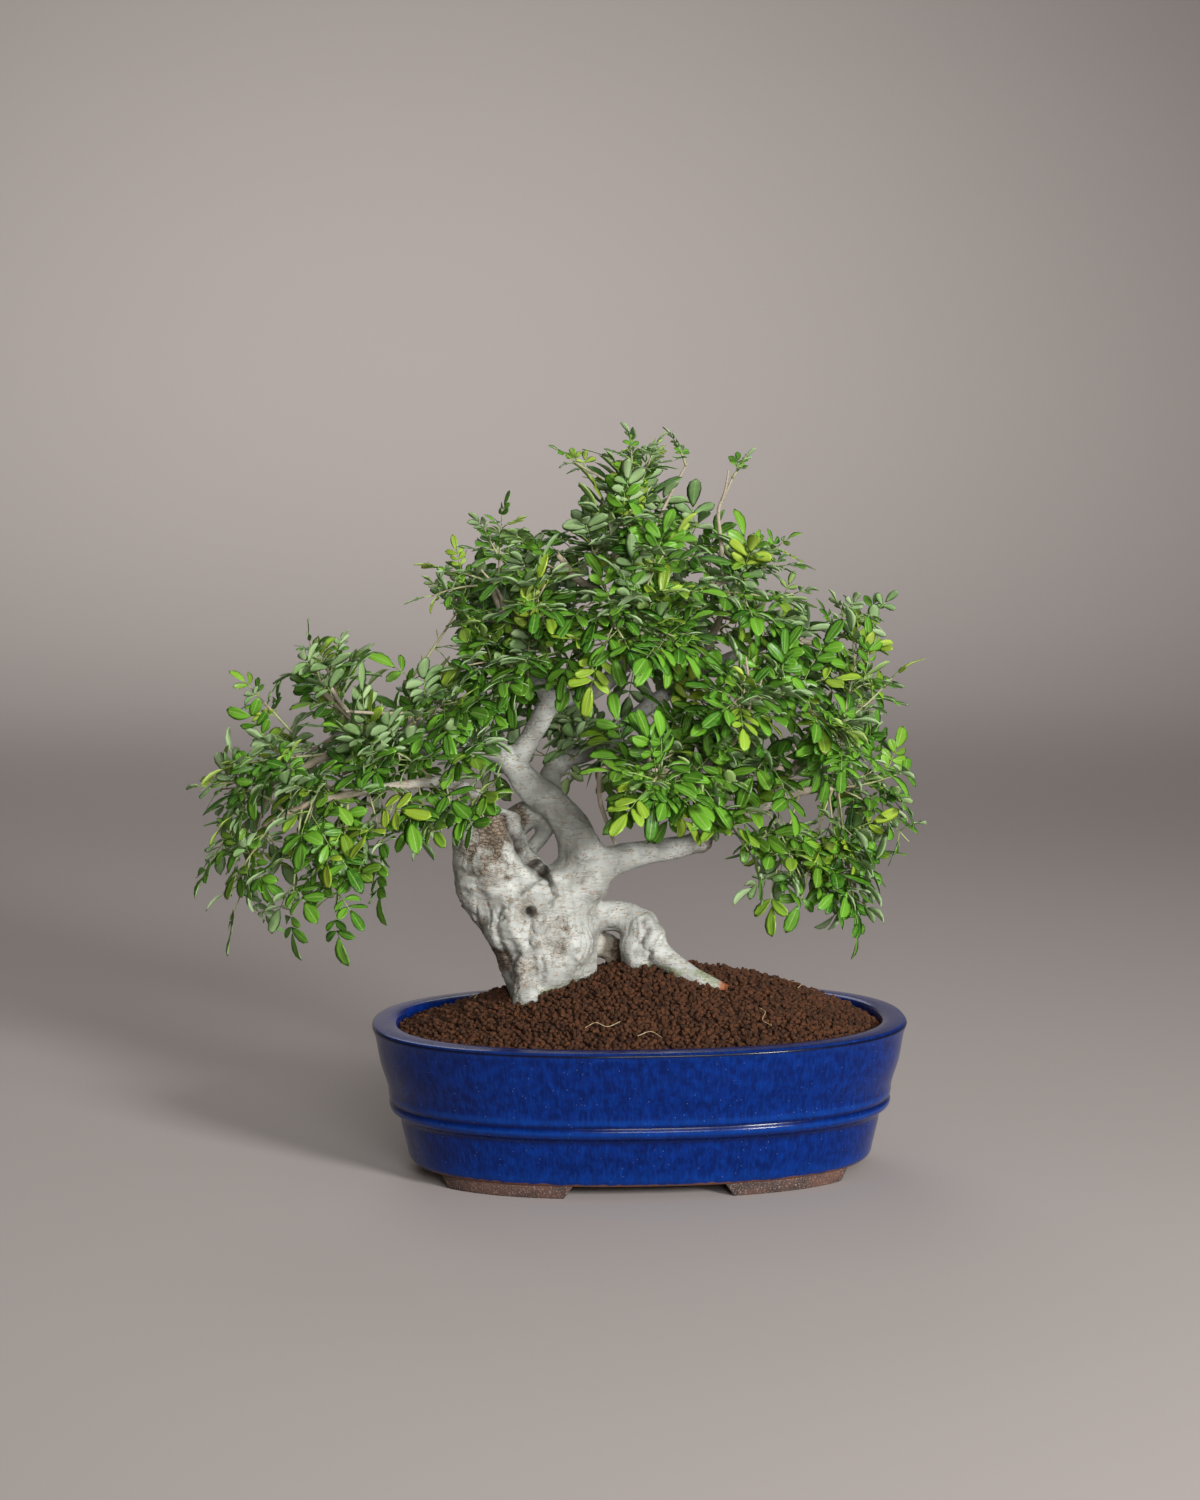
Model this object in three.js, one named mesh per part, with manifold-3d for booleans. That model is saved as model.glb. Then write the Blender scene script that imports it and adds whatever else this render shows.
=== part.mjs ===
// Narrow-leaved ash bonsai in an oval glazed pot.
// Millimetres, +Z up, +X to the right and +Y to the back as seen from the tree's front.
// Everything is drawn around the pot's centre with the feet on z = 0, and the whole group is moved
// at the end so that the origin is the middle of its box on the surface that it stands on.
import * as THREE from 'three';
import * as BufferGeometryUtils from 'three/addons/utils/BufferGeometryUtils.js';
import Module from 'manifold-3d';

const wasm = await Module();
wasm.setup();

// Driving dimensions
const GAP = 0.3;
const POT_LENGTH = 410;
const POT_DEPTH = 284;
const POT_OVALNESS = 2.36;
const RIM_HEIGHT = 116;
const UNDERSIDE_HEIGHT = 10;
const FLOOR_HEIGHT = 22;
const LIP_WIDTH = 19;
const LIP_UNDERSIDE = 100;
const OVAL_SEGMENTS = 52;
const DRAIN_X = 85;
const DRAIN_RADIUS = 12;
const SCREEN_SIZE = 36;
const SCREEN_THICKNESS = 0.8;
const SCREEN_PITCH = 8;
const SCREEN_OPENING = 6;
const CLIP_WIRE_RADIUS = 0.8;
const CLIP_TAIL = 12;
const SOIL_EDGE_HEIGHT = 109;
const SOIL_RISE = 50;
const SOIL_TILT = 0.25;
const TWIG_RADIUS = 1.3;
const LEAF_PAIR_SPACING = 17;
const LEAF_LENGTH = 36;
const LEAF_WIDTH = 19;
const LEAF_LEAN = THREE.MathUtils.degToRad(58);
const SHOOT_LENGTH = 66;

// The pot's outline: how far each level stands in from the rim's edge, and its height.
// Outside, from the underside up: rounded bottom, lower wall, belt with its groove, flared upper wall, lip.
const POT_OUTSIDE = [
  [31, UNDERSIDE_HEIGHT], [27.5, 13], [25.5, 21], [21.5, 38], [20, 45.5],
  [13.8, 50.5], [12.4, 54.5], [13.6, 57.5], [12.2, 60.5], [11.5, 68],
  [6, 86], [2.4, 106], [0.8, 111], [0, 113.5], [1.2, RIM_HEIGHT - 0.6], [3.2, RIM_HEIGHT],
];
// Inside, from the lip's inner edge down: the lip's nose, the wall under it, the floor's edge.
const POT_INSIDE = [
  [LIP_WIDTH - 2, RIM_HEIGHT], [LIP_WIDTH, RIM_HEIGHT - 2], [LIP_WIDTH, LIP_UNDERSIDE + 4],
  [12, LIP_UNDERSIDE + 1], [21, 60], [29, 30], [37, FLOOR_HEIGHT],
];
const FOOT_OUTSIDE = 32;
const FOOT_INSIDE = 48;
const FRONT_GAP = { top: 56, bottom: 64.5 };
const END_GAP = { top: 60, bottom: 68 };

// Shared shape tools

function toGeometry(vertices, triangles) {
  const geometry = new THREE.BufferGeometry();
  geometry.setAttribute('position', new THREE.Float32BufferAttribute(vertices, 3));
  geometry.setIndex(triangles);
  return geometry;
}

function toSolid(geometry) {
  const bare = geometry.clone();
  bare.deleteAttribute('normal');
  bare.deleteAttribute('uv');
  const merged = BufferGeometryUtils.mergeVertices(bare, 1e-4);
  const vertProperties = Float32Array.from(merged.attributes.position.array);
  const triVerts = Uint32Array.from(merged.index.array);
  return new wasm.Manifold(new wasm.Mesh({ numProp: 3, vertProperties, triVerts }));
}

function fromSolid(solid) {
  const mesh = solid.getMesh();
  return toGeometry(mesh.vertProperties, Array.from(mesh.triVerts));
}

// A skin over a stack of rings. The first and last rings are filled, or joined when the stack is a loop.
// A skin that lies against another one, stacked the opposite way, splits its four-sided faces like it.
function loft(rings, { loop = false, facesAnother = false } = {}) {
  const count = rings[0].length;
  const vertices = rings.flat().flatMap((point) => point.toArray());
  const triangles = [];
  const bands = loop ? rings.length : rings.length - 1;
  for (let i = 0; i < bands; i += 1) {
    const lower = i * count;
    const upper = ((i + 1) % rings.length) * count;
    for (let j = 0; j < count; j += 1) {
      const next = (j + 1) % count;
      if (facesAnother) {
        triangles.push(lower + j, lower + next, upper + j);
        triangles.push(lower + next, upper + next, upper + j);
      } else {
        triangles.push(lower + j, lower + next, upper + next);
        triangles.push(lower + j, upper + next, upper + j);
      }
    }
  }
  if (!loop) {
    const top = (rings.length - 1) * count;
    for (let j = 1; j < count - 1; j += 1) {
      triangles.push(0, j + 1, j);
      triangles.push(top, top + j, top + j + 1);
    }
  }
  return toGeometry(vertices, triangles);
}

// Directions along a line of points, and a side direction that turns with the line without twisting.
function framesAlong(points) {
  const frames = [];
  let side = null;
  points.forEach((point, i) => {
    const before = points[Math.max(i - 1, 0)];
    const after = points[Math.min(i + 1, points.length - 1)];
    const along = after.clone().sub(before).normalize();
    if (!side) {
      const helper = Math.abs(along.z) < 0.8 ? new THREE.Vector3(0, 0, 1) : new THREE.Vector3(0, 1, 0);
      side = helper.cross(along);
    }
    side = side.clone().addScaledVector(along, -side.dot(along)).normalize();
    frames.push({ point, along, side, across: along.clone().cross(side) });
  });
  return frames;
}

function roundRing({ point, side, across }, radius, sides, { flat = 1, roll = 0 } = {}) {
  return Array.from({ length: sides }, (_, j) => {
    const angle = roll + (2 * Math.PI * j) / sides;
    const offset = side.clone().multiplyScalar(Math.cos(angle) * radius);
    offset.addScaledVector(across, Math.sin(angle) * radius);
    offset.y *= flat;
    return offset.add(point);
  });
}

function tube(points, radiusAt, sides, options) {
  const rings = framesAlong(points).map((frame, i) => roundRing(frame, radiusAt(i), sides, options));
  return toSolid(loft(rings));
}

// Pot

function potRing(inset, z) {
  const a = POT_LENGTH / 2 - inset;
  const b = POT_DEPTH / 2 - inset;
  return Array.from({ length: OVAL_SEGMENTS }, (_, j) => {
    const angle = (2 * Math.PI * j) / OVAL_SEGMENTS;
    const x = Math.abs(Math.cos(angle) / a) ** POT_OVALNESS;
    const y = Math.abs(Math.sin(angle) / b) ** POT_OVALNESS;
    const r = (x + y) ** (-1 / POT_OVALNESS);
    return new THREE.Vector3(r * Math.cos(angle), r * Math.sin(angle), z);
  });
}

function gapPrism({ top, bottom }, length) {
  const below = -1;
  const above = UNDERSIDE_HEIGHT + 1;
  const shape = new THREE.Shape([
    new THREE.Vector2(-bottom, below),
    new THREE.Vector2(bottom, below),
    new THREE.Vector2(top, above),
    new THREE.Vector2(-top, above),
  ]);
  const prism = new THREE.ExtrudeGeometry(shape, { depth: length, bevelEnabled: false });
  return prism.translate(0, 0, -length / 2).rotateX(Math.PI / 2);
}

function makePot() {
  const bowl = toSolid(loft([...POT_OUTSIDE, ...POT_INSIDE].map(([inset, z]) => potRing(inset, z))));
  const footTop = UNDERSIDE_HEIGHT + 0.5;
  const footRing = [
    potRing(FOOT_OUTSIDE, footTop), potRing(FOOT_INSIDE, footTop),
    potRing(FOOT_INSIDE, 0), potRing(FOOT_OUTSIDE + 1.5, 0), potRing(FOOT_OUTSIDE, 1.5),
  ];
  const acrossGap = toSolid(gapPrism(FRONT_GAP, POT_DEPTH));
  const endGap = toSolid(gapPrism(END_GAP, POT_LENGTH).rotateZ(Math.PI / 2));
  const feet = toSolid(loft(footRing, { loop: true })).subtract(acrossGap).subtract(endGap);
  let pot = bowl.add(feet);
  for (const x of [-DRAIN_X, DRAIN_X]) {
    const drain = new THREE.CylinderGeometry(DRAIN_RADIUS, DRAIN_RADIUS, 3 * FLOOR_HEIGHT, 20);
    pot = pot.subtract(toSolid(drain.rotateX(Math.PI / 2).translate(x, 0, UNDERSIDE_HEIGHT)));
  }
  return pot;
}

// Drain screens and the wire clips that hold them

function makeScreen(x) {
  const bottom = FLOOR_HEIGHT + GAP;
  const sheet = new THREE.BoxGeometry(SCREEN_SIZE, SCREEN_SIZE, SCREEN_THICKNESS);
  let screen = toSolid(sheet.translate(x, 0, bottom + SCREEN_THICKNESS / 2));
  for (const column of [-1, 0, 1]) {
    for (const row of [-1, 0, 1]) {
      const opening = new THREE.BoxGeometry(SCREEN_OPENING, SCREEN_OPENING, 2 * FLOOR_HEIGHT);
      const at = [x + column * SCREEN_PITCH, row * SCREEN_PITCH, bottom];
      screen = screen.subtract(toSolid(opening.translate(...at)));
    }
  }
  return screen;
}

const CLIP_CROWN_HEIGHT = FLOOR_HEIGHT + SCREEN_THICKNESS + 2 * GAP + CLIP_WIRE_RADIUS;

function makeClip(x) {
  const tailHeight = UNDERSIDE_HEIGHT - GAP - CLIP_WIRE_RADIUS;
  const leg = SCREEN_PITCH;
  const bend = 1.2;
  const right = [
    [0, CLIP_CROWN_HEIGHT], [leg - bend, CLIP_CROWN_HEIGHT], [leg, CLIP_CROWN_HEIGHT - bend],
    [leg, tailHeight + bend], [leg + bend, tailHeight], [leg + CLIP_TAIL, tailHeight],
  ];
  const left = right.slice(1).reverse().map(([dx, z]) => [-dx, z]);
  const points = [...left, ...right].map(([dx, z]) => new THREE.Vector3(x + dx, 0, z));
  return tube(points, () => CLIP_WIRE_RADIUS, 6);
}

// Tree wood. Each limb is a row of [x, y, z, radius] from where it grows to where it ends.

const TRUNK = { sides: 12, flat: 0.82 };
const LIMB = { sides: 8, flat: 1 };
const BRANCH = { sides: 6, flat: 1, leafy: true };

const LIMBS = {
  trunk: { ...TRUNK, buried: true, route: [
    [-63, 6, 98, 30], [-65, 6, 128, 33], [-67, 6, 146, 36], [-72, 4, 175, 41], [-77, 2, 203, 44], [-76, 2, 221, 37],
  ] },
  old_stump: { ...TRUNK, route: [
    [-80, 2, 187, 37], [-102, 0, 219, 36], [-112, -2, 240, 30], [-113, -2, 262, 28], [-108, 0, 280, 19],
  ] },
  right_stem: { ...LIMB, sides: 10, route: [
    [-59, 2, 205, 29], [-44, 0, 236, 19.5], [-49, 0, 260, 15.5], [-61, 2, 278, 12.7],
    [-80, 4, 293, 11.5], [-95, 5, 311, 10.4],
  ] },
  hollow_back: { ...LIMB, route: [[-106, 16, 255, 13], [-89, 18, 269, 11.5], [-66, 12, 281, 10]] },
  hollow_bridge: { ...LIMB, sides: 6, route: [[-97, 12, 240, 7], [-84, 14, 244, 6], [-75, 13, 253, 6], [-68, 9, 266, 7]] },
  root_arch: { ...LIMB, sides: 10, buried: true, route: [
    [-53, 6, 186, 23], [-29, 8, 193, 12.5], [-10, 6, 192, 12.3], [5, 1, 181, 12.3],
    [13, -6, 168, 10.7], [28, -14, 155, 8.8], [43, -20, 143, 6.5], [64, -25, 134, 3.1],
  ] },
  hanging_root: { ...LIMB, buried: true, route: [[-3, 6, 185, 10.7], [-5, 8, 166, 9], [-6, 9, 150, 6.5], [-8, 12, 136, 4]] },
  inner_root: { ...LIMB, sides: 6, buried: true, route: [[-37, 16, 169, 5.4], [-27, 20, 166, 3.8], [-19, 22, 154, 3.8], [-13, 24, 138, 3.1]] },
  front_root: { ...LIMB, buried: true, route: [[-86, -14, 170, 9], [-89, -27, 148, 8], [-91, -31, 130, 8], [-93, -34, 112, 5]] },
  buried_root_1: { ...LIMB, sides: 6, buried: true, route: [[-66, 6, 118, 16], [-108, -26, 100, 9], [-142, -42, 84, 3]] },
  buried_root_2: { ...LIMB, sides: 6, buried: true, route: [[-66, 6, 118, 16], [-104, 38, 100, 9], [-136, 56, 84, 3]] },
  buried_root_3: { ...LIMB, sides: 6, buried: true, route: [[-60, 6, 116, 16], [-28, 46, 100, 10], [6, 74, 80, 3]] },
  buried_root_4: { ...LIMB, sides: 6, buried: true, route: [[-60, 6, 116, 16], [-22, -38, 98, 9], [12, -66, 80, 3]] },
  low_branch: { ...LIMB, route: [[-42, 0, 226, 19], [-20, -3, 238, 11.8], [5, -8, 245, 9.4], [31, -13, 249, 8.6], [53, -17, 256, 7.4]] },

  left_limb: { ...BRANCH, sides: 8, route: [
    [-95, 5, 311, 10.2], [-108, 0, 323, 8.6], [-129, -8, 326, 7.8], [-152, -14, 324, 6.9], [-174, -18, 331, 5.8],
    [-201, -20, 332, 4.8], [-230, -18, 325, 4], [-258, -12, 311, 3], [-280, -6, 296, 2.2],
  ] },
  left_back: { ...BRANCH, route: [
    [-129, -8, 326, 7], [-150, 16, 336, 5.6], [-182, 40, 342, 4.6], [-220, 54, 334, 3.6], [-256, 52, 314, 2.2],
  ] },
  left_riser: { ...BRANCH, route: [[-174, -18, 331, 5], [-172, -16, 352, 4], [-176, -20, 380, 2.2]] },
  left_outer_riser: { ...BRANCH, route: [[-201, -20, 332, 4.4], [-216, -30, 352, 3.4], [-238, -28, 372, 2.2]] },
  left_low: { ...BRANCH, route: [
    [-109, -4, 276, 7.4], [-129, -14, 294, 5.6], [-147, -26, 302, 4.8], [-182, -40, 302, 4],
    [-219, -48, 297, 3.4], [-254, -46, 288, 2.8], [-284, -38, 272, 2],
  ] },
  leader: { ...BRANCH, sides: 8, route: [
    [-95, 5, 311, 9.6], [-86, 0, 326, 9], [-75, -4, 345, 8.5], [-66, -4, 360, 8.2], [-36, 0, 367, 7.4],
    [-10, 4, 388, 6.6], [7, 6, 422, 5.8], [7, 8, 460, 4.8], [3, 6, 495, 3.6], [-2, 4, 520, 2.2],
  ] },
  shoulder: { ...BRANCH, route: [[-66, -4, 360, 7.4], [-75, -8, 376, 6.4], [-87, -14, 401, 5], [-103, -22, 431, 3.8], [-112, -26, 452, 2.3]] },
  shoulder_back: { ...BRANCH, route: [[-75, -8, 376, 6], [-84, 20, 400, 4.6], [-102, 44, 418, 3.4], [-114, 58, 434, 2.2]] },
  crown_left: { ...BRANCH, route: [[7, 6, 422, 5.2], [-20, -14, 438, 4.4], [-46, -30, 454, 3.4], [-62, -40, 474, 2.2]] },
  crown_back: { ...BRANCH, route: [[7, 8, 442, 5], [-4, 40, 456, 4], [-14, 72, 468, 2.4]] },
  crown_front: { ...BRANCH, route: [[-10, 4, 388, 5.8], [-12, -30, 406, 4.6], [-8, -62, 416, 3.4], [-2, -88, 418, 2.2]] },
  crown_right: { ...BRANCH, route: [[7, 6, 422, 5.2], [38, -6, 438, 4.2], [64, -16, 452, 3.2], [82, -24, 458, 2.2]] },
  back_limb: { ...BRANCH, sides: 8, route: [
    [-66, 8, 282, 10], [-67, 22, 299, 9.2], [-55, 36, 311, 8.4], [-27, 48, 320, 7.4], [13, 56, 351, 6.5],
    [53, 56, 377, 5.4], [87, 44, 393, 4.6], [121, 34, 403, 3.6], [150, 24, 396, 2.3],
  ] },
  back_riser: { ...BRANCH, route: [[13, 56, 351, 5.4], [6, 78, 374, 4], [-4, 94, 394, 2.4]] },
  right_riser: { ...BRANCH, route: [[53, 56, 377, 4.8], [60, 38, 406, 3.8], [70, 24, 430, 2.4]] },
  low_riser: { ...BRANCH, route: [
    [44, -16, 252, 6.4], [46, -20, 276, 5.4], [44, -24, 298, 4.8], [62, -34, 327, 4.2], [84, -44, 352, 3.4], [106, -50, 370, 2.3],
  ] },
  low_front: { ...BRANCH, route: [[44, -24, 298, 4.6], [20, -50, 310, 3.8], [-10, -74, 318, 3], [-34, -86, 318, 2.2]] },
  middle_front: { ...BRANCH, route: [[62, -34, 327, 4.2], [60, -60, 350, 3.2], [52, -80, 368, 2.2]] },
  low_right: { ...BRANCH, route: [[48, -17, 254, 6.4], [60, -14, 270, 5], [88, -4, 275, 4.4], [124, 4, 288, 3.5], [154, 8, 290, 2.3]] },
  right_front: { ...BRANCH, route: [[88, -4, 275, 4.4], [110, -22, 303, 3.6], [134, -32, 330, 3], [152, -36, 346, 2.2]] },
  right_back: { ...BRANCH, route: [[88, -4, 275, 4.4], [106, 26, 298, 3.6], [130, 48, 320, 3], [150, 58, 338, 2.2]] },
};
const RINGS_PER_SPAN = 2;

// The centre line of a limb in small steps, with the radius there.
function limbLine({ route }, perSpan = RINGS_PER_SPAN) {
  const curve = new THREE.CatmullRomCurve3(route.map(([x, y, z]) => new THREE.Vector3(x, y, z)));
  const steps = (route.length - 1) * perSpan;
  return Array.from({ length: steps + 1 }, (_, k) => {
    const span = Math.min(Math.floor(k / perSpan), route.length - 2);
    const part = k / perSpan - span;
    const radius = THREE.MathUtils.lerp(route[span][3], route[span + 1][3], part);
    return { point: curve.getPoint(k / steps), radius };
  });
}

function makeLimb(limb, grow = 0) {
  const line = limbLine(limb);
  const points = line.map(({ point }) => point);
  const start = points[0].clone().sub(points[1]).normalize();
  const end = points.at(-1).clone().sub(points.at(-2)).normalize();
  points[0] = points[0].clone().addScaledVector(start, grow);
  points[points.length - 1] = points.at(-1).clone().addScaledVector(end, grow);
  return tube(points, (i) => line[i].radius + grow, limb.sides, { flat: limb.flat });
}

function joined(solids) {
  return solids.reduce((whole, solid) => whole.add(solid));
}

// Soil: fills the pot's inside up to just under the rim and mounds up around the trunk.

function soilHeight(x, y) {
  const a = POT_LENGTH / 2 - LIP_WIDTH;
  const b = POT_DEPTH / 2 - LIP_WIDTH;
  const out = (Math.abs(x / a) ** POT_OVALNESS + Math.abs(y / b) ** POT_OVALNESS) ** (1 / POT_OVALNESS);
  const tilt = 1 + (SOIL_TILT * x * 2) / POT_LENGTH;
  return SOIL_EDGE_HEIGHT + SOIL_RISE * Math.max(0, 1 - out ** 1.6) * tilt;
}

function makeSoil(screens, clips) {
  const wallLevels = POT_INSIDE.slice(2).reverse();
  const drop = (z) => (z > FLOOR_HEIGHT ? 0 : -GAP) + (z > LIP_UNDERSIDE ? 2 * GAP : 0);
  const sides = wallLevels.map(([inset, z]) => potRing(inset + GAP, z - drop(z)));
  const edge = potRing(LIP_WIDTH + GAP, SOIL_EDGE_HEIGHT);
  const centre = new THREE.Vector3(0, 0, 0);
  const mound = [0.86, 0.7, 0.54, 0.38, 0.22, 0.08].map((share) => edge.map((point) => {
    const inner = point.clone().lerp(centre, 1 - share);
    return inner.setZ(soilHeight(inner.x, inner.y));
  }));
  let soil = toSolid(loft([...sides, edge, ...mound], { facesAnother: true }));
  const buried = Object.values(LIMBS).filter((limb) => limb.buried);
  soil = soil.subtract(joined(buried.map((limb) => makeLimb(limb, 1.6 * GAP))));
  for (const piece of [...screens, ...clips]) {
    const { min, max } = piece.boundingBox();
    const room = [0, 1, 2].map((k) => max[k] - min[k] + 2 * GAP);
    const recess = new THREE.BoxGeometry(...room);
    const middle = [0, 1, 2].map((k) => (min[k] + max[k]) / 2);
    soil = soil.subtract(toSolid(recess.translate(...middle)));
  }
  return soil;
}

// Leaf sprays: a shoot with its leaves in crossed pairs and one leaf at its tip.

// A leaf grows out of a small four-cornered patch: two edge points, a tip, and skins between them.
function leafTriangles(vertices, [a, b, c, d], direction, width, length) {
  const corner = (i) => new THREE.Vector3().fromArray(vertices, 3 * i);
  const base = corner(a).add(corner(b)).add(corner(c)).add(corner(d)).multiplyScalar(0.25);
  const sideways = corner(b).sub(corner(a)).normalize();
  const middle = base.clone().addScaledVector(direction, 0.55 * length);
  const first = vertices.length / 3;
  vertices.push(...middle.clone().addScaledVector(sideways, -width / 2).toArray());
  vertices.push(...middle.clone().addScaledVector(sideways, width / 2).toArray());
  vertices.push(...base.clone().addScaledVector(direction, length).toArray());
  const [left, right, tip] = [first, first + 1, first + 2];
  return [
    a, b, right, a, right, tip, a, tip, left,
    c, d, left, c, left, tip, c, tip, right,
    b, c, right, d, a, left,
  ];
}

// The shoot's rings from its seat to its end, with two close rings wherever a pair of leaves grows.
function shootRings(start, end, bow, roll) {
  const length = start.distanceTo(end);
  const middle = start.clone().lerp(end, 0.5).add(new THREE.Vector3(0, 0, bow));
  const curve = new THREE.QuadraticBezierCurve3(start, middle, end);
  const pairs = Math.max(2, Math.round((0.8 * length) / LEAF_PAIR_SPACING));
  const patch = (1.3 * TWIG_RADIUS) / length;
  const stops = [0];
  for (let k = 0; k < pairs; k += 1) {
    const at = 0.24 + (0.7 * k) / pairs;
    stops.push(at, at + patch);
  }
  stops.push(1);
  const frames = framesAlong(stops.map((stop) => curve.getPoint(stop)));
  const radius = (stop) => TWIG_RADIUS * (1 - 0.35 * stop);
  return frames.map((frame, i) => roundRing(frame, radius(stops[i]), 4, { roll }));
}

// The places where leaves can grow on the rings: the four corners of the patch and the leaf's direction.
function leafSites(rings) {
  const sites = [];
  const centre = (ring) => ring[0].clone().lerp(ring[2], 0.5);
  for (let i = 1; i < rings.length - 1; i += 2) {
    const along = centre(rings[i + 1]).sub(centre(rings[i])).normalize();
    const odd = ((i - 1) / 2) % 2;
    for (const face of [odd, odd + 2]) {
      const next = (face + 1) % 4;
      const out = rings[i][face].clone().lerp(rings[i][next], 0.5).sub(centre(rings[i])).normalize();
      const direction = along.clone().multiplyScalar(Math.cos(LEAF_LEAN)).addScaledVector(out, Math.sin(LEAF_LEAN));
      sites.push({ corners: [4 * i + face, 4 * i + next, 4 * (i + 1) + next, 4 * (i + 1) + face], direction });
    }
  }
  const last = rings.length - 1;
  const direction = centre(rings[last]).sub(centre(rings[last - 1])).normalize();
  sites.push({ corners: [0, 1, 2, 3].map((j) => 4 * last + j), direction });
  return sites;
}

// One closed body: the shoot's skin, left open at every patch that grows a leaf, and those leaves.
function sprayGeometry(rings, sites) {
  const vertices = rings.flat().flatMap((point) => point.toArray());
  const patches = new Set(sites.map(({ corners }) => corners.join()));
  const triangles = [0, 2, 1, 0, 3, 2];
  const quads = [[0, 1, 2, 3].map((j) => 4 * (rings.length - 1) + j)];
  for (let i = 0; i < rings.length - 1; i += 1) {
    for (let face = 0; face < 4; face += 1) {
      const next = (face + 1) % 4;
      quads.push([4 * i + face, 4 * i + next, 4 * (i + 1) + next, 4 * (i + 1) + face]);
    }
  }
  for (const [a, b, c, d] of quads) {
    if (!patches.has([a, b, c, d].join())) {
      triangles.push(a, b, c, a, c, d);
    }
  }
  for (const { corners, direction } of sites) {
    triangles.push(...leafTriangles(vertices, corners, direction, LEAF_WIDTH, LEAF_LENGTH));
  }
  return toGeometry(vertices, triangles);
}

// A leaf on its own, to test that it is clear of what is already there.
function loneLeaf(rings, { corners: [a, b, c, d], direction }) {
  const vertices = rings.flat().flatMap((point) => point.toArray());
  const leaf = leafTriangles(vertices, [a, b, c, d], direction, LEAF_WIDTH, LEAF_LENGTH);
  return toSolid(toGeometry(vertices, [a, c, b, a, d, c, ...leaf]));
}

function boxesNear(one, other) {
  const near = (k) => one.min[k] < other.max[k] + 1 && other.min[k] < one.max[k] + 1;
  return near(0) && near(1) && near(2);
}

function isClear(solid, others) {
  const box = solid.boundingBox();
  return others.every((other) => !boxesNear(box, other.box) || solid.minGap(other.solid, 1) >= GAP);
}

// The crown's masses: centre and half sizes of each rounded mass of leaves, and the shoots that fill it.
const LEAF_MASSES = [
  { centre: [2, 0, 502], half: [36, 50, 28], shoots: 3 },
  { centre: [-16, 0, 446], half: [72, 110, 44], shoots: 7 },
  { centre: [-100, 4, 418], half: [40, 84, 46], shoots: 5 },
  { centre: [62, 0, 404], half: [64, 112, 48], shoots: 6 },
  { centre: [140, 4, 338], half: [46, 88, 54], shoots: 7 },
  { centre: [0, -34, 318], half: [62, 78, 30], shoots: 4 },
  { centre: [-158, 4, 338], half: [46, 88, 38], shoots: 4 },
  { centre: [-240, 0, 312], half: [56, 76, 48], shoots: 6 },
];
// Long shoots that stand out of the masses: the apex, the shoulder tips and the hanging ends.
const LONG_SHOOTS = [
  [-3, 2, 534], [-96, -24, 478], [-140, -20, 430], [-236, -26, 392], [-312, -2, 300],
  [-298, -30, 232], [-232, -50, 232], [158, 2, 208], [190, 6, 282], [172, 10, 408], [92, -18, 470],
];

function pointOnMass({ centre, half, shoots }, k) {
  const height = 1 - (1.7 * (k + 0.5)) / shoots;
  const around = k * Math.PI * (3 - Math.sqrt(5)) + centre[0];
  const ring = Math.sqrt(1 - height * height);
  return new THREE.Vector3(
    centre[0] + half[0] * ring * Math.cos(around),
    centre[1] + half[1] * ring * Math.sin(around),
    centre[2] + half[2] * height,
  );
}

// Seats a shoot on the nearest limb that lets it and its leaves stay clear of everything placed before.
function growSpray(end, seats, wood, placed) {
  const byFit = seats.map((seat) => ({ ...seat, misfit: Math.abs(seat.point.distanceTo(end) - SHOOT_LENGTH) }));
  byFit.sort((one, other) => one.misfit - other.misfit);
  for (const { point, radius } of byFit.slice(0, 24)) {
    for (const [bow, roll] of [[8, 0], [-8, 0.5], [16, 1]]) {
      const away = end.clone().sub(point).normalize();
      let offset = 0.6 * radius;
      let rings = null;
      let shoot = null;
      do {
        offset += 0.25;
        rings = shootRings(point.clone().addScaledVector(away, offset), end, bow, roll);
        shoot = toSolid(loft(rings));
      } while (shoot.minGap(wood.solid, 1) < GAP && offset < 3 * radius);
      if (isClear(shoot, placed)) {
        const sites = leafSites(rings).filter((site) => isClear(loneLeaf(rings, site), placed));
        if (sites.length >= 5) {
          return sprayGeometry(rings, sites);
        }
      }
    }
  }
  return null;
}

function growSprays(woodSolid) {
  const wood = { solid: woodSolid, box: woodSolid.boundingBox() };
  const seats = Object.values(LIMBS).filter((limb) => limb.leafy).flatMap((limb) => limbLine(limb, 4).slice(3));
  const ends = [
    ...LONG_SHOOTS.map((end) => new THREE.Vector3(...end)),
    ...LEAF_MASSES.flatMap((mass) => Array.from({ length: mass.shoots }, (_, k) => pointOnMass(mass, k))),
  ];
  const placed = [wood];
  const sprays = [];
  for (const end of ends) {
    const geometry = growSpray(end, seats, wood, placed);
    if (geometry) {
      sprays.push(geometry);
      const solid = toSolid(geometry);
      placed.push({ solid, box: solid.boundingBox() });
    }
  }
  return sprays;
}

// Assembly

const COLOURS = {
  glaze: { color: 0x12409c, roughness: 0.14, metalness: 0 },
  soil: { color: 0x50301f, roughness: 0.95, metalness: 0 },
  bark: { color: 0xb3aea2, roughness: 0.75, metalness: 0 },
  leaf: { color: 0x4c8a2a, roughness: 0.45, metalness: 0 },
  screen: { color: 0x1d1f20, roughness: 0.6, metalness: 0 },
  wire: { color: 0x9a9c9e, roughness: 0.35, metalness: 1 },
};

const group = new THREE.Group();

function addPiece(name, geometry, colour) {
  const mesh = new THREE.Mesh(geometry, new THREE.MeshStandardMaterial(COLOURS[colour]));
  mesh.name = name;
  group.add(mesh);
}

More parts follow.
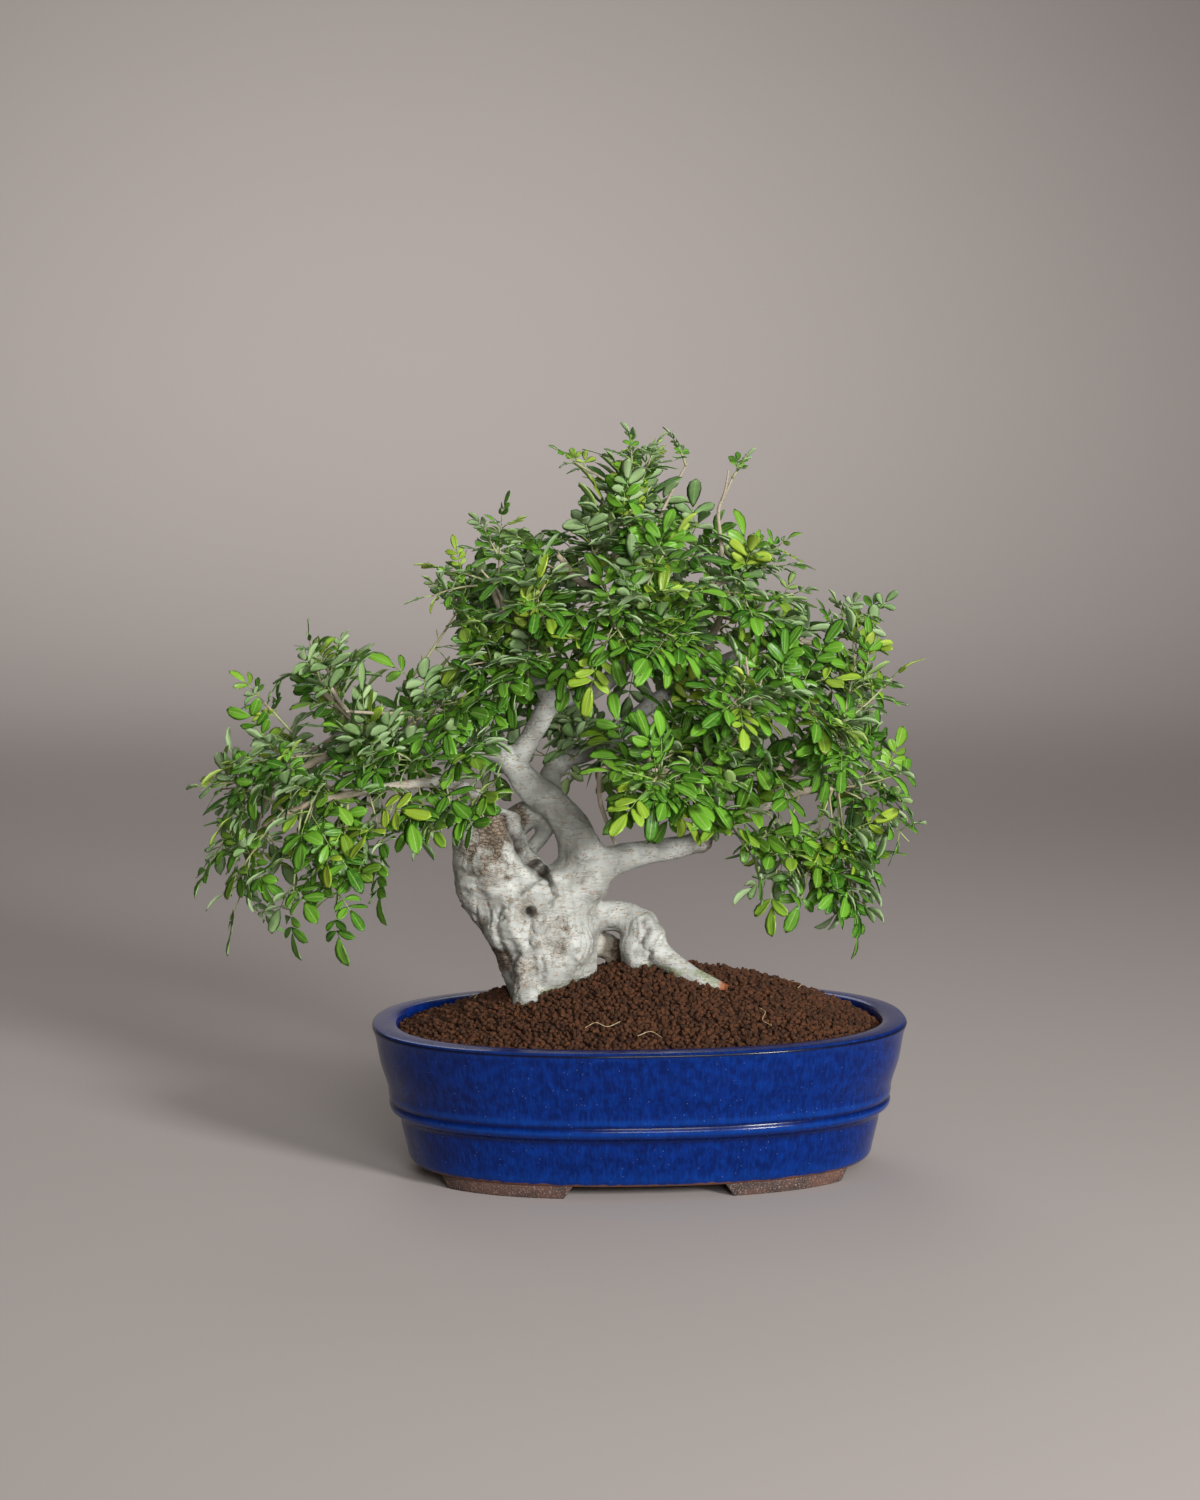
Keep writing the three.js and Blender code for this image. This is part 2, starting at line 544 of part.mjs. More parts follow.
const woodSolid = joined(Object.values(LIMBS).map((limb) => makeLimb(limb)));
const screens = [-DRAIN_X, DRAIN_X].map(makeScreen);
const clips = [-DRAIN_X, DRAIN_X].map(makeClip);

addPiece('pot', fromSolid(makePot()), 'glaze');
addPiece('soil', fromSolid(makeSoil(screens, clips)), 'soil');
['left', 'right'].forEach((side, i) => {
  addPiece(`drain_screen_${side}`, fromSolid(screens[i]), 'screen');
  addPiece(`screen_clip_${side}`, fromSolid(clips[i]), 'wire');
});
addPiece('tree_wood', fromSolid(woodSolid), 'bark');
growSprays(woodSolid).forEach((geometry, i) => {
  addPiece(`leaf_spray_${String(i + 1).padStart(2, '0')}`, geometry, 'leaf');
});

const box = new THREE.Box3().setFromObject(group);
const middle = box.getCenter(new THREE.Vector3());
group.position.set(-middle.x, -middle.y, -box.min.z);

export default group;
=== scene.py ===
import itertools
import math
import random

import bmesh
import bpy
import numpy as np
from mathutils import Matrix, Vector, noise
from mathutils.bvhtree import BVHTree
from mathutils.kdtree import KDTree


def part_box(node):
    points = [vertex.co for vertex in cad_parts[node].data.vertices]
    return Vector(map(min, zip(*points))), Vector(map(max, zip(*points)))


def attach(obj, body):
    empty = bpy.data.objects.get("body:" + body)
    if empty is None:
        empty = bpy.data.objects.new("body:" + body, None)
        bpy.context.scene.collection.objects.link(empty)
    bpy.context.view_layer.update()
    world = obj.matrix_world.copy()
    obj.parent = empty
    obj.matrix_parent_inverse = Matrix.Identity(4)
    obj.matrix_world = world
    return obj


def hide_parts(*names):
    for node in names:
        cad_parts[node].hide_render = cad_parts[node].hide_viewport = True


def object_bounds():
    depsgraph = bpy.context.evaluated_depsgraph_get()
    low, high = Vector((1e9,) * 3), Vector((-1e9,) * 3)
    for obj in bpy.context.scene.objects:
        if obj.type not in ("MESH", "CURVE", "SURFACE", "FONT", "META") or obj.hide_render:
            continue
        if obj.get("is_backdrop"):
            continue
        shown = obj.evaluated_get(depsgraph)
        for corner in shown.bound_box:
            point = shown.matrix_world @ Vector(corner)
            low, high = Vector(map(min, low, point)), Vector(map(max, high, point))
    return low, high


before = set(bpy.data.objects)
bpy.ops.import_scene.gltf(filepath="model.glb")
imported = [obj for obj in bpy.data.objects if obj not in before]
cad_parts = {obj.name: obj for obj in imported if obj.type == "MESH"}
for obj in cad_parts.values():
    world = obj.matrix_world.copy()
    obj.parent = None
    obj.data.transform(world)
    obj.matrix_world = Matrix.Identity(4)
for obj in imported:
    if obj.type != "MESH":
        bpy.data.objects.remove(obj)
CAD_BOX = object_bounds()

# A narrow-leaved ash bonsai with compound leaves, a silver-grey trunk with a root arch, granular
# soil, and an oval pot in cobalt glaze on bare clay feet.
# Numbers are millimetres around the pot's centre, with x to the right, y to the back and z up, and
# are turned to metres in the part's own frame as a mesh is made.

bl_info = {
    "name": "Ash bonsai in an oval pot",
    "version": (1, 0, 0),
    "blender": (4, 5, 0),
    "location": "3D View > Sidebar > Bonsai",
    "description": "Models the pot, soil, wood and leaves of an ash bonsai, piece by piece",
    "category": "Object",
}

MM = 0.001
POT_LOW, POT_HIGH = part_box("pot")
ORIGIN = Vector(((POT_LOW.x + POT_HIGH.x) / 2, (POT_LOW.y + POT_HIGH.y) / 2, 0))
SPRAY_NODES = sorted(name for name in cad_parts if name.startswith("leaf_spray_"))

# The pot's outline, from the underside up the outside and over the lip: inset from the rim, height.
POT_OUTSIDE = [
    (31, 10), (27.5, 13), (25.5, 21), (21.5, 38), (20, 45.5), (13.8, 50.5), (12.4, 54.5), (13.6, 57.5),
    (12.2, 60.5), (11.5, 68), (6, 86), (2.4, 106), (0.8, 111), (0, 113.5), (1.2, 115.4), (3.2, 116),
]
POT_INSIDE = [(17, 116), (19, 114), (19, 104), (12, 101), (21, 60), (29, 30), (37, 22)]
POT_UNDERSIDE = 10
POT_FLOOR = 22
FLAT_CENTRE_INSET = 118
FOOT_OUTSIDE = 32
FOOT_INSIDE = 48
FOOT_GAPS = [(56, 64.5, False), (60, 68, True)]
DRAIN_X = 85
DRAIN_RADIUS = 12
# Heights of the belt's two ridges, of the groove between them and the one below, of the lip's edge,
# and of the glaze's end inside.
UPPER_RIDGE = 61.5
LOWER_RIDGE = 53
BELT_GROOVE = 57.3
BELT_FOOT = 46.5
LIP_EDGE = 113.8
INNER_GLAZE_END = 103
# The soil's mound, and how far its packed bed lies under the tops of the grains.
SOIL_HALF_LENGTH = 186
SOIL_HALF_DEPTH = 123
SOIL_EDGE_HEIGHT = 109
SOIL_RISE = 50
SOIL_TILT = 0.25
BED_DEPTH = 3.2
# The hollow in the mound: its middle, radius and depth.
DIP_X = 58
DIP_Y = -38
DIP_RADIUS = 46
DIP_DEPTH = 6.5
# The grains' staggered rows: how far they run, how far the grains stay from the pot's rim, how much
# each is moved at random, the share with a second grain on top, the rows' distance as a share of the
# grains' spacing, and how much each grain is stretched along its three axes.
GRAIN_ROWS_END = 122
GRAIN_INSET = 20.5
GRAIN_JITTER = 1.2
UPPER_GRAIN_SHARE = 0.22
ROW_SPACING = 0.866
GRAIN_STRETCH = [(0.8, 1.2), (0.8, 1.2), (0.7, 1.0)]
ROOTLET_LIFT = 1.2

# Each limb as stops of x, y, z and radius, from where it grows to where it ends.
STOUT_LIMBS = {
    "trunk": [
        (-63, 6, 98, 30), (-65, 6, 128, 33), (-67, 6, 146, 36), (-72, 4, 175, 41), (-77, 2, 203, 44),
        (-76, 2, 221, 37),
    ],
    "old_stump": [
        (-80, 2, 187, 37), (-102, 0, 219, 36), (-112, -2, 240, 30), (-113, -2, 262, 28), (-108, 0, 280, 19),
    ],
}
BARE_LIMBS = {
    "right_stem": [
        (-59, 2, 205, 29), (-44, 0, 236, 19.5), (-49, 0, 260, 15.5), (-61, 2, 278, 12.7),
        (-80, 4, 293, 11.5), (-95, 5, 311, 10.4),
    ],
    "hollow_back": [(-106, 16, 255, 13), (-89, 18, 269, 11.5), (-66, 12, 281, 10)],
    "hollow_bridge": [(-97, 12, 240, 7), (-84, 14, 244, 6), (-75, 13, 253, 6), (-68, 9, 266, 7)],
    "root_arch": [
        (-53, 6, 186, 23), (-29, 8, 193, 12.5), (-10, 6, 192, 12.3), (5, 1, 181, 12.3), (13, -6, 168, 10.7),
        (28, -14, 157, 9.2), (43, -20, 149, 7.4), (58, -25, 143.5, 5.6), (66, -27, 141, 3.4),
    ],
    "hanging_root": [(-3, 6, 185, 10.7), (-5, 8, 166, 9), (-6, 9, 150, 6.5), (-8, 12, 136, 4)],
    "inner_root": [(-37, 16, 169, 5.4), (-27, 20, 166, 3.8), (-19, 22, 154, 3.8), (-13, 24, 138, 3.1)],
    "back_root": [
        (-50, 14, 176, 15), (-27, 27, 168, 10.5), (-8, 35, 158, 8.5), (10, 42, 144, 6.5), (26, 48, 126, 4),
    ],
    "front_root": [(-86, -14, 170, 9), (-89, -27, 148, 8), (-91, -31, 130, 8), (-93, -34, 112, 5)],
    "buried_root_1": [(-66, 6, 118, 16), (-108, -26, 100, 9), (-142, -42, 84, 3)],
    "buried_root_2": [(-66, 6, 118, 16), (-104, 38, 100, 9), (-136, 56, 84, 3)],
    "buried_root_3": [(-60, 6, 116, 16), (-28, 46, 100, 10), (6, 74, 80, 3)],
    "buried_root_4": [(-60, 6, 116, 16), (-22, -38, 98, 9), (12, -66, 80, 3)],
    "low_branch": [
        (-42, 0, 226, 19), (-20, -3, 238, 11.8), (5, -8, 245, 9.4), (31, -13, 249, 8.6),
        (53, -17, 256, 7.4),
    ],
}
LEAFY_LIMBS = {
    "left_limb": [
        (-95, 5, 311, 10.2), (-108, 0, 323, 8.6), (-129, -8, 326, 7.8), (-152, -14, 324, 6.9),
        (-174, -18, 331, 5.8), (-201, -20, 332, 4.8), (-230, -18, 325, 4), (-258, -12, 311, 3),
        (-280, -6, 296, 2.2),
    ],
    "left_back": [
        (-129, -8, 326, 7), (-150, 16, 336, 5.6), (-182, 40, 342, 4.6), (-220, 54, 334, 3.6),
        (-256, 52, 314, 2.2),
    ],
    "left_riser": [(-174, -18, 331, 5), (-172, -16, 352, 4), (-176, -20, 380, 2.2)],
    "left_outer_riser": [(-201, -20, 332, 4.4), (-216, -30, 352, 3.4), (-238, -28, 372, 2.2)],
    "left_low": [
        (-109, -4, 276, 7.4), (-129, -14, 294, 5.6), (-147, -26, 302, 4.8), (-182, -40, 302, 4),
        (-219, -48, 297, 3.4), (-254, -46, 288, 2.8), (-284, -38, 272, 2),
    ],
    "leader": [
        (-95, 5, 311, 9.6), (-86, 0, 326, 9), (-75, -4, 345, 8.5), (-66, -4, 360, 8.2), (-36, 0, 367, 7.4),
        (-10, 4, 388, 6.6), (7, 6, 422, 5.8), (7, 8, 460, 4.8), (3, 6, 495, 3.6), (-2, 4, 520, 2.2),
    ],
    "shoulder": [
        (-66, -4, 360, 7.4), (-75, -8, 376, 6.4), (-87, -14, 401, 5), (-103, -22, 431, 3.8),
        (-112, -26, 452, 2.3),
    ],
    "shoulder_back": [(-75, -8, 376, 6), (-84, 20, 400, 4.6), (-102, 44, 418, 3.4), (-114, 58, 434, 2.2)],
    "crown_left": [(7, 6, 422, 5.2), (-20, -14, 438, 4.4), (-46, -30, 454, 3.4), (-62, -40, 474, 2.2)],
    "crown_back": [(7, 8, 442, 5), (-4, 40, 456, 4), (-14, 72, 468, 2.4)],
    "crown_front": [(-10, 4, 388, 5.8), (-12, -30, 406, 4.6), (-8, -62, 416, 3.4), (-2, -88, 418, 2.2)],
    "crown_right": [(7, 6, 422, 5.2), (38, -6, 438, 4.2), (64, -16, 452, 3.2), (82, -24, 458, 2.2)],
    "back_limb": [
        (-66, 8, 282, 10), (-67, 22, 299, 9.2), (-55, 36, 311, 8.4), (-27, 48, 320, 7.4),
        (13, 56, 351, 6.5), (53, 56, 377, 5.4), (87, 44, 393, 4.6), (121, 34, 403, 3.6),
        (150, 24, 396, 2.3),
    ],
    "back_riser": [(13, 56, 351, 5.4), (6, 78, 374, 4), (-4, 94, 394, 2.4)],
    "right_riser": [(53, 56, 377, 4.8), (60, 38, 406, 3.8), (70, 24, 430, 2.4)],
    "low_riser": [
        (44, -16, 252, 6.4), (46, -20, 276, 5.4), (44, -24, 298, 4.8), (62, -34, 327, 4.2),
        (84, -44, 352, 3.4), (106, -50, 370, 2.3),
    ],
    "low_front": [(44, -24, 298, 4.6), (20, -50, 310, 3.8), (-10, -74, 318, 3), (-34, -86, 318, 2.2)],
    "middle_front": [(62, -34, 327, 4.2), (60, -60, 350, 3.2), (52, -80, 368, 2.2)],
    "low_right": [
        (48, -17, 254, 6.4), (60, -14, 270, 5), (88, -4, 275, 4.4), (124, 4, 288, 3.5), (154, 8, 290, 2.3),
    ],
    "right_front": [(88, -4, 275, 4.4), (110, -22, 303, 3.6), (134, -32, 330, 3), (152, -36, 346, 2.2)],
    "right_back": [(88, -4, 275, 4.4), (106, 26, 298, 3.6), (130, 48, 320, 3), (150, 58, 338, 2.2)],
}

# The stout wood is flattened towards its middle plane, and what the front shows is carved before the
# front plane.
WOOD_MIDDLE = 3
STOUT_FLATNESS = 0.82
FRONT_PLANE = 4
# Swellings that the years left on the wood: place and radius.
SWELLINGS = [
    (-121, -4, 222, 19), (-117, -4, 199, 14), (-100, -14, 190, 20), (-56, -10, 178, 22),
    (-108, -10, 240, 24), (-68, -10, 160, 24), (-84, 16, 160, 24), (-50, 14, 166, 18), (2, 2, 186, 13.6),
    (8, -4, 176, 13), (-2, 0, 172, 13.5), (0, -1, 161, 11), (-39, -6, 222, 18), (46, -17, 254, 9.6),
    (-78, -8, 136, 22), (-86, -33, 139, 9.5),
]
# Hollows seen from the front: x and z of the middle, radius, and how deep they go.
HOLLOWS = [(-85, 203, 4.4, 11), (-74, 229, 5.5, 14), (-80, 236, 5, 13), (-90, 250, 6, 12)]
# Ridges of overgrown wood seen from the front: width, height, and the x and z that they run through.
RIDGES = [
    (4.5, 4.6, [(-66, 227), (-85, 218), (-99, 207), (-99, 191), (-88, 176), (-90, 160)]),
    (4.5, 4.0, [(-62, 228), (-65, 207), (-76, 193), (-80, 180)]),
    (6, 2.6, [(-134, 226), (-118, 222), (-104, 216)]),
    (5, 2.0, [(-50, 214), (-48, 196), (-52, 176), (-46, 160)]),
    (3.5, 1.6, [(-62, 276), (-48, 270), (-36, 262)]),
    (4, 2.0, [(8, 192), (14, 180), (10, 166)]),
]
# Creases seen from the front: their width, their depth, and the x and z that they run through.
CREASES = [
    (5.5, 6.0, [(-101, 280), (-97, 268), (-91, 256), (-84, 244)]),
    (2.0, 2.0, [(-84, 238), (-76, 230), (-69, 223), (-67, 216)]),
    (1.3, 1.4, [(-84, 176), (-85, 186), (-84, 197)]),
    (1.8, 1.3, [(-106, 205), (-110, 192), (-106, 178), (-98, 160), (-100, 148)]),
    (1.3, 1.0, [(-60, 205), (-57, 190), (-62, 172), (-56, 158)]),
    (1.5, 0.8, [(-142, 236), (-128, 231), (-116, 232)]),
    (1.2, 0.6, [(-140, 245), (-124, 241), (-112, 246)]),
    (1.2, 0.6, [(-140, 226), (-122, 224), (-104, 222)]),
    (1.6, 1.5, [(2, 193), (5, 184), (-1, 174)]),
    (1.5, 1.3, [(16, 182), (8, 172), (6, 160)]),
    (1.2, 0.8, [(-50, 243), (-42, 238), (-34, 242)]),
    (1.1, 0.7, [(-66, 268), (-56, 265), (-48, 268)]),
    (1.4, 1.0, [(-92, 172), (-96, 158), (-94, 146)]),
    (1.4, 1.0, [(-76, 170), (-74, 156), (-78, 146)]),
]
# Patches of rough brown bark: place, radius and strength. The first is painted shade: it darkens the root
# behind the arch, which lies in shade.
ROUGH_AND_SHADED_PATCHES = [
    (-14, 32, 160, 24, 1.0), (-104, -20, 270, 16, 0.9), (-112, -22, 264, 24, 0.9),
    (-126, -14, 248, 18, 0.8), (-114, -8, 194, 18, 0.9), (-108, -10, 166, 20, 1.0),
    (-112, -24, 240, 26, 0.5), (-88, -34, 206, 18, 0.45), (-68, -30, 180, 26, 0.42),
    (-92, -28, 156, 24, 0.5), (-62, -28, 200, 16, 0.35), (-72, -26, 234, 14, 0.5), (48, -18, 254, 12, 1.0),
    (70, -28, 140, 11, 1.6), (6, -8, 178, 12, 0.4), (-90, 30, 190, 30, 0.7), (-60, 36, 236, 24, 0.6),
    (-96, 8, 270, 18, 1.0), (-130, 6, 214, 20, 0.7),
]
# The root's broken end, which shows raw orange wood.
TORN_END = (68, -27, 142)
# Bare twigs and stubs that stand out of the leaves: each as stops of x, y, z and radius.
BARE_TWIGS = [
    [(62, -34, 327, 2.4), (72, -52, 338, 2.0), (76, -66, 352, 1.5), (79, -72, 367, 1.2), (75, -76, 399, 0.8)],
    [(79, -72, 366, 1.1), (85, -74, 376, 0.9), (88, -75, 386, 0.7)],
    [(-4, -71, 317, 2.4), (2, -80, 304, 2.1), (3, -84, 318, 1.9), (2, -84, 333, 1.5)],
    [(-34, -85, 317, 2.0), (-33, -70, 293, 1.8), (-27, -60, 274, 1.6), (-21, -52, 258, 1.2)],
    [(-172, -18, 354, 2.2), (-176, -40, 356, 1.7), (-196, -54, 358, 1.4), (-220, -56, 360, 1.1)],
    [(-216, -30, 352, 2.4), (-228, -38, 370, 1.7), (-236, -42, 384, 1.5)],
    [(1, 6, 506, 2.0), (-11, -10, 516, 1.3), (-22, -16, 526, 1.0), (-34, -18, 534, 0.8)],
    [(6, 7, 474, 2.2), (12, -8, 491, 1.6), (24, -14, 516, 1.2), (37, -18, 541, 0.8)],
    [(64, -16, 452, 2.4), (62, -20, 480, 1.8), (60, -22, 506, 1.4), (66, -24, 520, 1.1), (71, -25, 531, 0.8)],
    [(61, -22, 508, 1.1), (65, -26, 522, 0.9), (67, -27, 535, 0.7)],
    [(-103, -22, 431, 2.2), (-104, -32, 442, 1.4), (-110, -36, 452, 1.1), (-119, -38, 463, 0.8)],
]
# Young shoots that stand out of the crown or hang below it: start, end and leaflet length.
SPRIGS = [
    ((-2, 4, 520), (-5, -6, 553), 12), ((2, 2, 524), (12, -4, 549), 11),
    ((-34, -18, 533), (-49, -20, 543), 11), ((36, -18, 538), (32, -20, 548), 10),
    ((70, -25, 529), (76, -27, 539), 11), ((-106, -28, 452), (-103, -30, 498), 12),
    ((-104, -28, 470), (-114, -30, 489), 11), ((-112, -26, 450), (-156, -30, 443), 13),
    ((-112, -26, 452), (-146, -34, 462), 12), ((-238, -28, 372), (-246, -30, 406), 13),
    ((-238, -28, 372), (-226, -34, 404), 12), ((-262, -14, 340), (-290, -18, 372), 14),
    ((82, -24, 458), (106, -26, 463), 13), ((80, -24, 456), (104, -28, 478), 12),
    ((90, 0, 430), (118, -10, 441), 14), ((150, 24, 396), (184, 8, 426), 14),
    ((146, 24, 398), (160, 4, 424), 13), ((152, -36, 346), (190, -30, 378), 17),
    ((154, 8, 290), (206, -2, 304), 19), ((154, 8, 290), (207, -8, 250), 20),
    ((154, 8, 288), (166, -8, 196), 21), ((150, 8, 289), (126, -20, 218), 22),
    ((124, 4, 287), (100, -26, 220), 23), ((-280, -6, 296), (-304, -12, 214), 22),
    ((-219, -48, 297), (-230, -56, 214), 22), ((-254, -46, 288), (-262, -54, 216), 21),
    ((-280, -6, 296), (-326, -14, 300), 17), ((-182, -40, 302), (-196, -56, 254), 23),
    ((-280, -6, 296), (-320, -10, 250), 20),
]
# Fine dead rootlets on the soil, each as stops of x and y with its radius.
ROOTLETS = [
    (0.3, [(86, -64), (90, -72), (87, -80), (93, -88)]),
    (0.28, [(-46, -92), (-38, -90), (-30, -93), (-20, -91)]),
    (0.25, [(-8, -104), (2, -102), (10, -106)]),
    (0.3, [(120, 20), (126, 8), (122, -6)]),
    (0.28, [(-130, 34), (-124, 22), (-128, 10)]),
]
# The crown's outline as the front shows it: x and z, going round from the left.
CROWN_OUTLINE = [
    (-334, 300), (-324, 325), (-297, 371), (-270, 384), (-249, 409), (-209, 407), (-191, 397), (-166, 391),
    (-140, 390), (-136, 408), (-144, 435), (-161, 444), (-151, 460), (-128, 481), (-113, 503), (-97, 502),
    (-78, 487), (-55, 494), (-41, 504), (-38, 522), (-52, 543), (-28, 552), (-4, 561), (4, 548), (25, 551),
    (41, 548), (58, 543), (79, 541), (77, 522), (76, 503), (98, 483), (109, 462), (88, 446), (119, 445),
    (142, 424), (163, 429), (188, 430), (194, 383), (194, 362), (178, 354), (204, 313), (214, 293),
    (210, 229), (170, 182), (150, 202), (125, 211), (93, 207), (78, 236), (70, 257), (41, 250), (18, 250),
    (-28, 255), (-59, 282), (-90, 305), (-108, 282), (-120, 254), (-140, 253), (-170, 237), (-191, 247),
    (-211, 223), (-228, 201), (-258, 209), (-286, 209), (-305, 203), (-323, 238),
]
# The gap in the leaves through which the front shows the limbs.
CROWN_WINDOW = [
    (-104, 318), (-92, 350), (-80, 370), (-60, 370), (-58, 342), (-46, 312), (-32, 260), (-66, 262),
]
# The crown's middle, from which the leaves turn away.
CROWN_MIDDLE = (-30, 10, 330)
# Where the crown's outline is seen from.
EYE = (-159, -2490, 600)
# The lamps are shielded to a cone of this many degrees, so that they leave no glare on the floor.
LIGHT_SPREAD = 75
# The lens in millimetres, on a picture 36 mm high.
LENS = 79.2
# How far up a limb its first spur grows.
SPUR_START = 34.0
# Tips of single shoots that fill the crown's underside and hang before the wood.
FILL_TIPS = [
    (-142, -44, 366), (-130, -50, 330), (-151, -56, 300), (-122, -40, 296), (-159, -50, 268),
    (-118, -36, 276), (-134, -42, 286), (-104, -42, 302), (-142, -46, 272), (-116, -46, 270),
    (-126, -44, 332), (-112, -40, 366), (-176, -58, 290), (-196, -56, 268), (-214, -52, 320),
    (-58, -60, 404), (-18, -52, 330), (-8, -66, 296), (14, -62, 284), (30, -58, 276), (50, -54, 276),
    (72, -48, 282), (18, -50, 330), (40, -62, 310), (80, -44, 250), (104, -30, 244), (122, -30, 226),
    (150, -20, 236), (162, -8, 206), (96, -60, 316), (-84, -30, 424), (-60, 30, 340), (-20, 60, 300),
    (60, 50, 330), (100, 50, 300), (-120, 40, 320), (-90, 40, 360), (30, 70, 320),
]


# Shared tools

def linear(hex_colour):
    """An sRGB hex colour as the linear red, green and blue that shaders and colour settings hold."""
    parts = [int(hex_colour[start:start + 2], 16) / 255 for start in (1, 3, 5)]
    return tuple(part / 12.92 if part <= 0.04045 else ((part + 0.055) / 1.055) ** 2.4 for part in parts)


def to_frame(points):
    """Millimetres around the pot's centre as metres in the part's frame."""
    return np.asarray(points, float) * MM + np.array(ORIGIN)


def from_frame(points):
    """Metres in the part's frame as millimetres around the pot's centre."""
    return (np.asarray(points, float) - np.array(ORIGIN)) / MM


def unit(vectors):
    """The vectors at a length of 1."""
    lengths = np.linalg.norm(vectors, axis=-1, keepdims=True)
    return vectors / np.maximum(lengths, 1e-9)


def soft_step(values, low, high):
    """Goes smoothly from 0 at low to 1 at high, which may lie either way round."""
    share = np.clip((values - low) / (high - low), 0, 1)
    return share * share * (3 - 2 * share)


def hump(values, middle, width):
    """1 at the middle, and falling softly to 0 on both sides of it."""
    return np.exp(-(((values - middle) / width) ** 2))


def smooth_line(stops, steps):
    """Points on a smooth curve through the stops. The first three numbers curve, the rest blend evenly."""
    stops = np.array(stops, float)
    places = stops[:, :3]
    ends = np.vstack([2 * places[0] - places[1], places, 2 * places[-1] - places[-2]])
    line = []
    for span in range(len(stops) - 1):
        before, start, end, after = ends[span:span + 4]
        pairs = ((before, start), (start, end), (end, after))
        gap_in, gap, gap_out = (max(math.sqrt(np.linalg.norm(b - a)), 1e-4) for a, b in pairs)
        pull_in = gap * ((start - before) / gap_in - (end - before) / (gap_in + gap) + (end - start) / gap)
        pull_out = gap * ((end - start) / gap - (after - start) / (gap + gap_out) + (after - end) / gap_out)
        last = span == len(stops) - 2
        for t in np.arange(steps + last) / steps:
            place = (
                (2 * t**3 - 3 * t**2 + 1) * start + (t**3 - 2 * t**2 + t) * pull_in
                + (3 * t**2 - 2 * t**3) * end + (t**3 - t**2) * pull_out
            )
            rest = stops[span, 3:] * (1 - t) + stops[span + 1, 3:] * t
            line.append(np.concatenate([place, rest]))
    return np.array(line)


def noise_at(points, size, seed=0):
    """Smooth noise from -1 to 1 at points in millimetres, with features of the given size."""
    shift = Vector((seed * 17.3, seed * 5.1, seed * 9.7))
    return np.array([noise.noise(Vector(point) / size + shift) for point in points])


def select_only(*things):
    """Selects these objects and no others, and makes the first one active."""
    if bpy.context.mode != "OBJECT":
        bpy.ops.object.mode_set(mode="OBJECT")
    bpy.ops.object.select_all(action="DESELECT")
    for thing in things:
        thing.select_set(True)
    bpy.context.view_layer.objects.active = things[0]


def clear_selection():
    """Deselects everything, before a new primitive is added."""
    bpy.ops.object.select_all(action="DESELECT")


def apply_modifier(piece, kind, **settings):
    """Adds a modifier with these settings and applies it."""
    select_only(piece)
    modifier = piece.modifiers.new(kind.title(), kind)
    for key, value in settings.items():
        setattr(modifier, key, value)
    bpy.ops.object.modifier_apply(modifier=modifier.name)


def join(pieces):
    """Joins the pieces into the first one."""
    select_only(*pieces)
    bpy.ops.object.join()
    return pieces[0]


def vertex_places(piece):
    """The places of a piece's vertices, in metres in the part's frame."""
    places = np.zeros(len(piece.data.vertices) * 3)
    piece.data.vertices.foreach_get("co", places)
    return places.reshape(-1, 3)


def set_vertex_places(piece, places):
    """Moves a piece's vertices to these places."""
    piece.data.vertices.foreach_set("co", np.asarray(places, float).ravel())
    piece.data.update()


def vertex_normals(piece):
    """The way that the surface faces at each of a piece's vertices."""
    normals = np.zeros(len(piece.data.vertices) * 3)
    piece.data.vertex_normals.foreach_get("vector", normals)
    return normals.reshape(-1, 3)


def set_vertex_value(piece, name, values):
    """Stores one number at each vertex, for a material to read."""
    attribute = piece.data.attributes.new(name, "FLOAT", "POINT")
    attribute.data.foreach_set("value", np.asarray(values, np.float32))


def recalculate_normals(piece):
    """Turns all faces of a piece outwards."""
    select_only(piece)
    bpy.ops.object.mode_set(mode="EDIT")
    bpy.ops.mesh.select_all(action="SELECT")
    bpy.ops.mesh.normals_make_consistent(inside=False)
    bpy.ops.object.mode_set(mode="OBJECT")


def shade_smooth(piece, degrees=None):
    """Shades a piece smooth, but for edges sharper than the angle where one is given."""
    select_only(piece)
    if degrees is None:
        bpy.ops.object.shade_smooth()
    else:
        bpy.ops.object.shade_smooth_by_angle(angle=math.radians(degrees))


def place_piece(name, mesh):
    """Puts a mesh in the scene as a new piece."""
    piece = bpy.data.objects.new(name, mesh)
    bpy.context.scene.collection.objects.link(piece)
    return piece


def give_materials(piece, *materials):
    """Gives a piece these materials, in place of any that it has."""
    piece.data.materials.clear()
    for material in materials:
        piece.data.materials.append(material)


def settle(piece, name, nodes=()):
    """Names a finished piece, ties it to the part's body, and hides the nodes it stands for."""
    piece.name = name
    piece.data.name = name
    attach(piece, "root")
    if nodes:
        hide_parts(*nodes)


def soil_height(x, y):
    """The height of the soil's mound, which tilts to the right."""
    power = bpy.context.scene.bonsai_pot.ovalness
    across = np.abs(np.asarray(x) / SOIL_HALF_LENGTH) ** power
    deep = np.abs(np.asarray(y) / SOIL_HALF_DEPTH) ** power
    out = (across + deep) ** (1 / power)
    tilt = 1 + SOIL_TILT * np.asarray(x) * 2 / bpy.context.scene.bonsai_pot.length
    return SOIL_EDGE_HEIGHT + SOIL_RISE * np.maximum(0, 1 - out**1.6) * tilt


def surface_height(x, y):
    """The tops of the grains: they lie lower in the hollow that watering left before the root's tip."""
    across = (np.asarray(x) - DIP_X) / DIP_RADIUS
    deep = (np.asarray(y) - DIP_Y) / DIP_RADIUS
    return soil_height(x, y) - DIP_DEPTH * np.exp(-(across**2) - deep**2)


# Materials

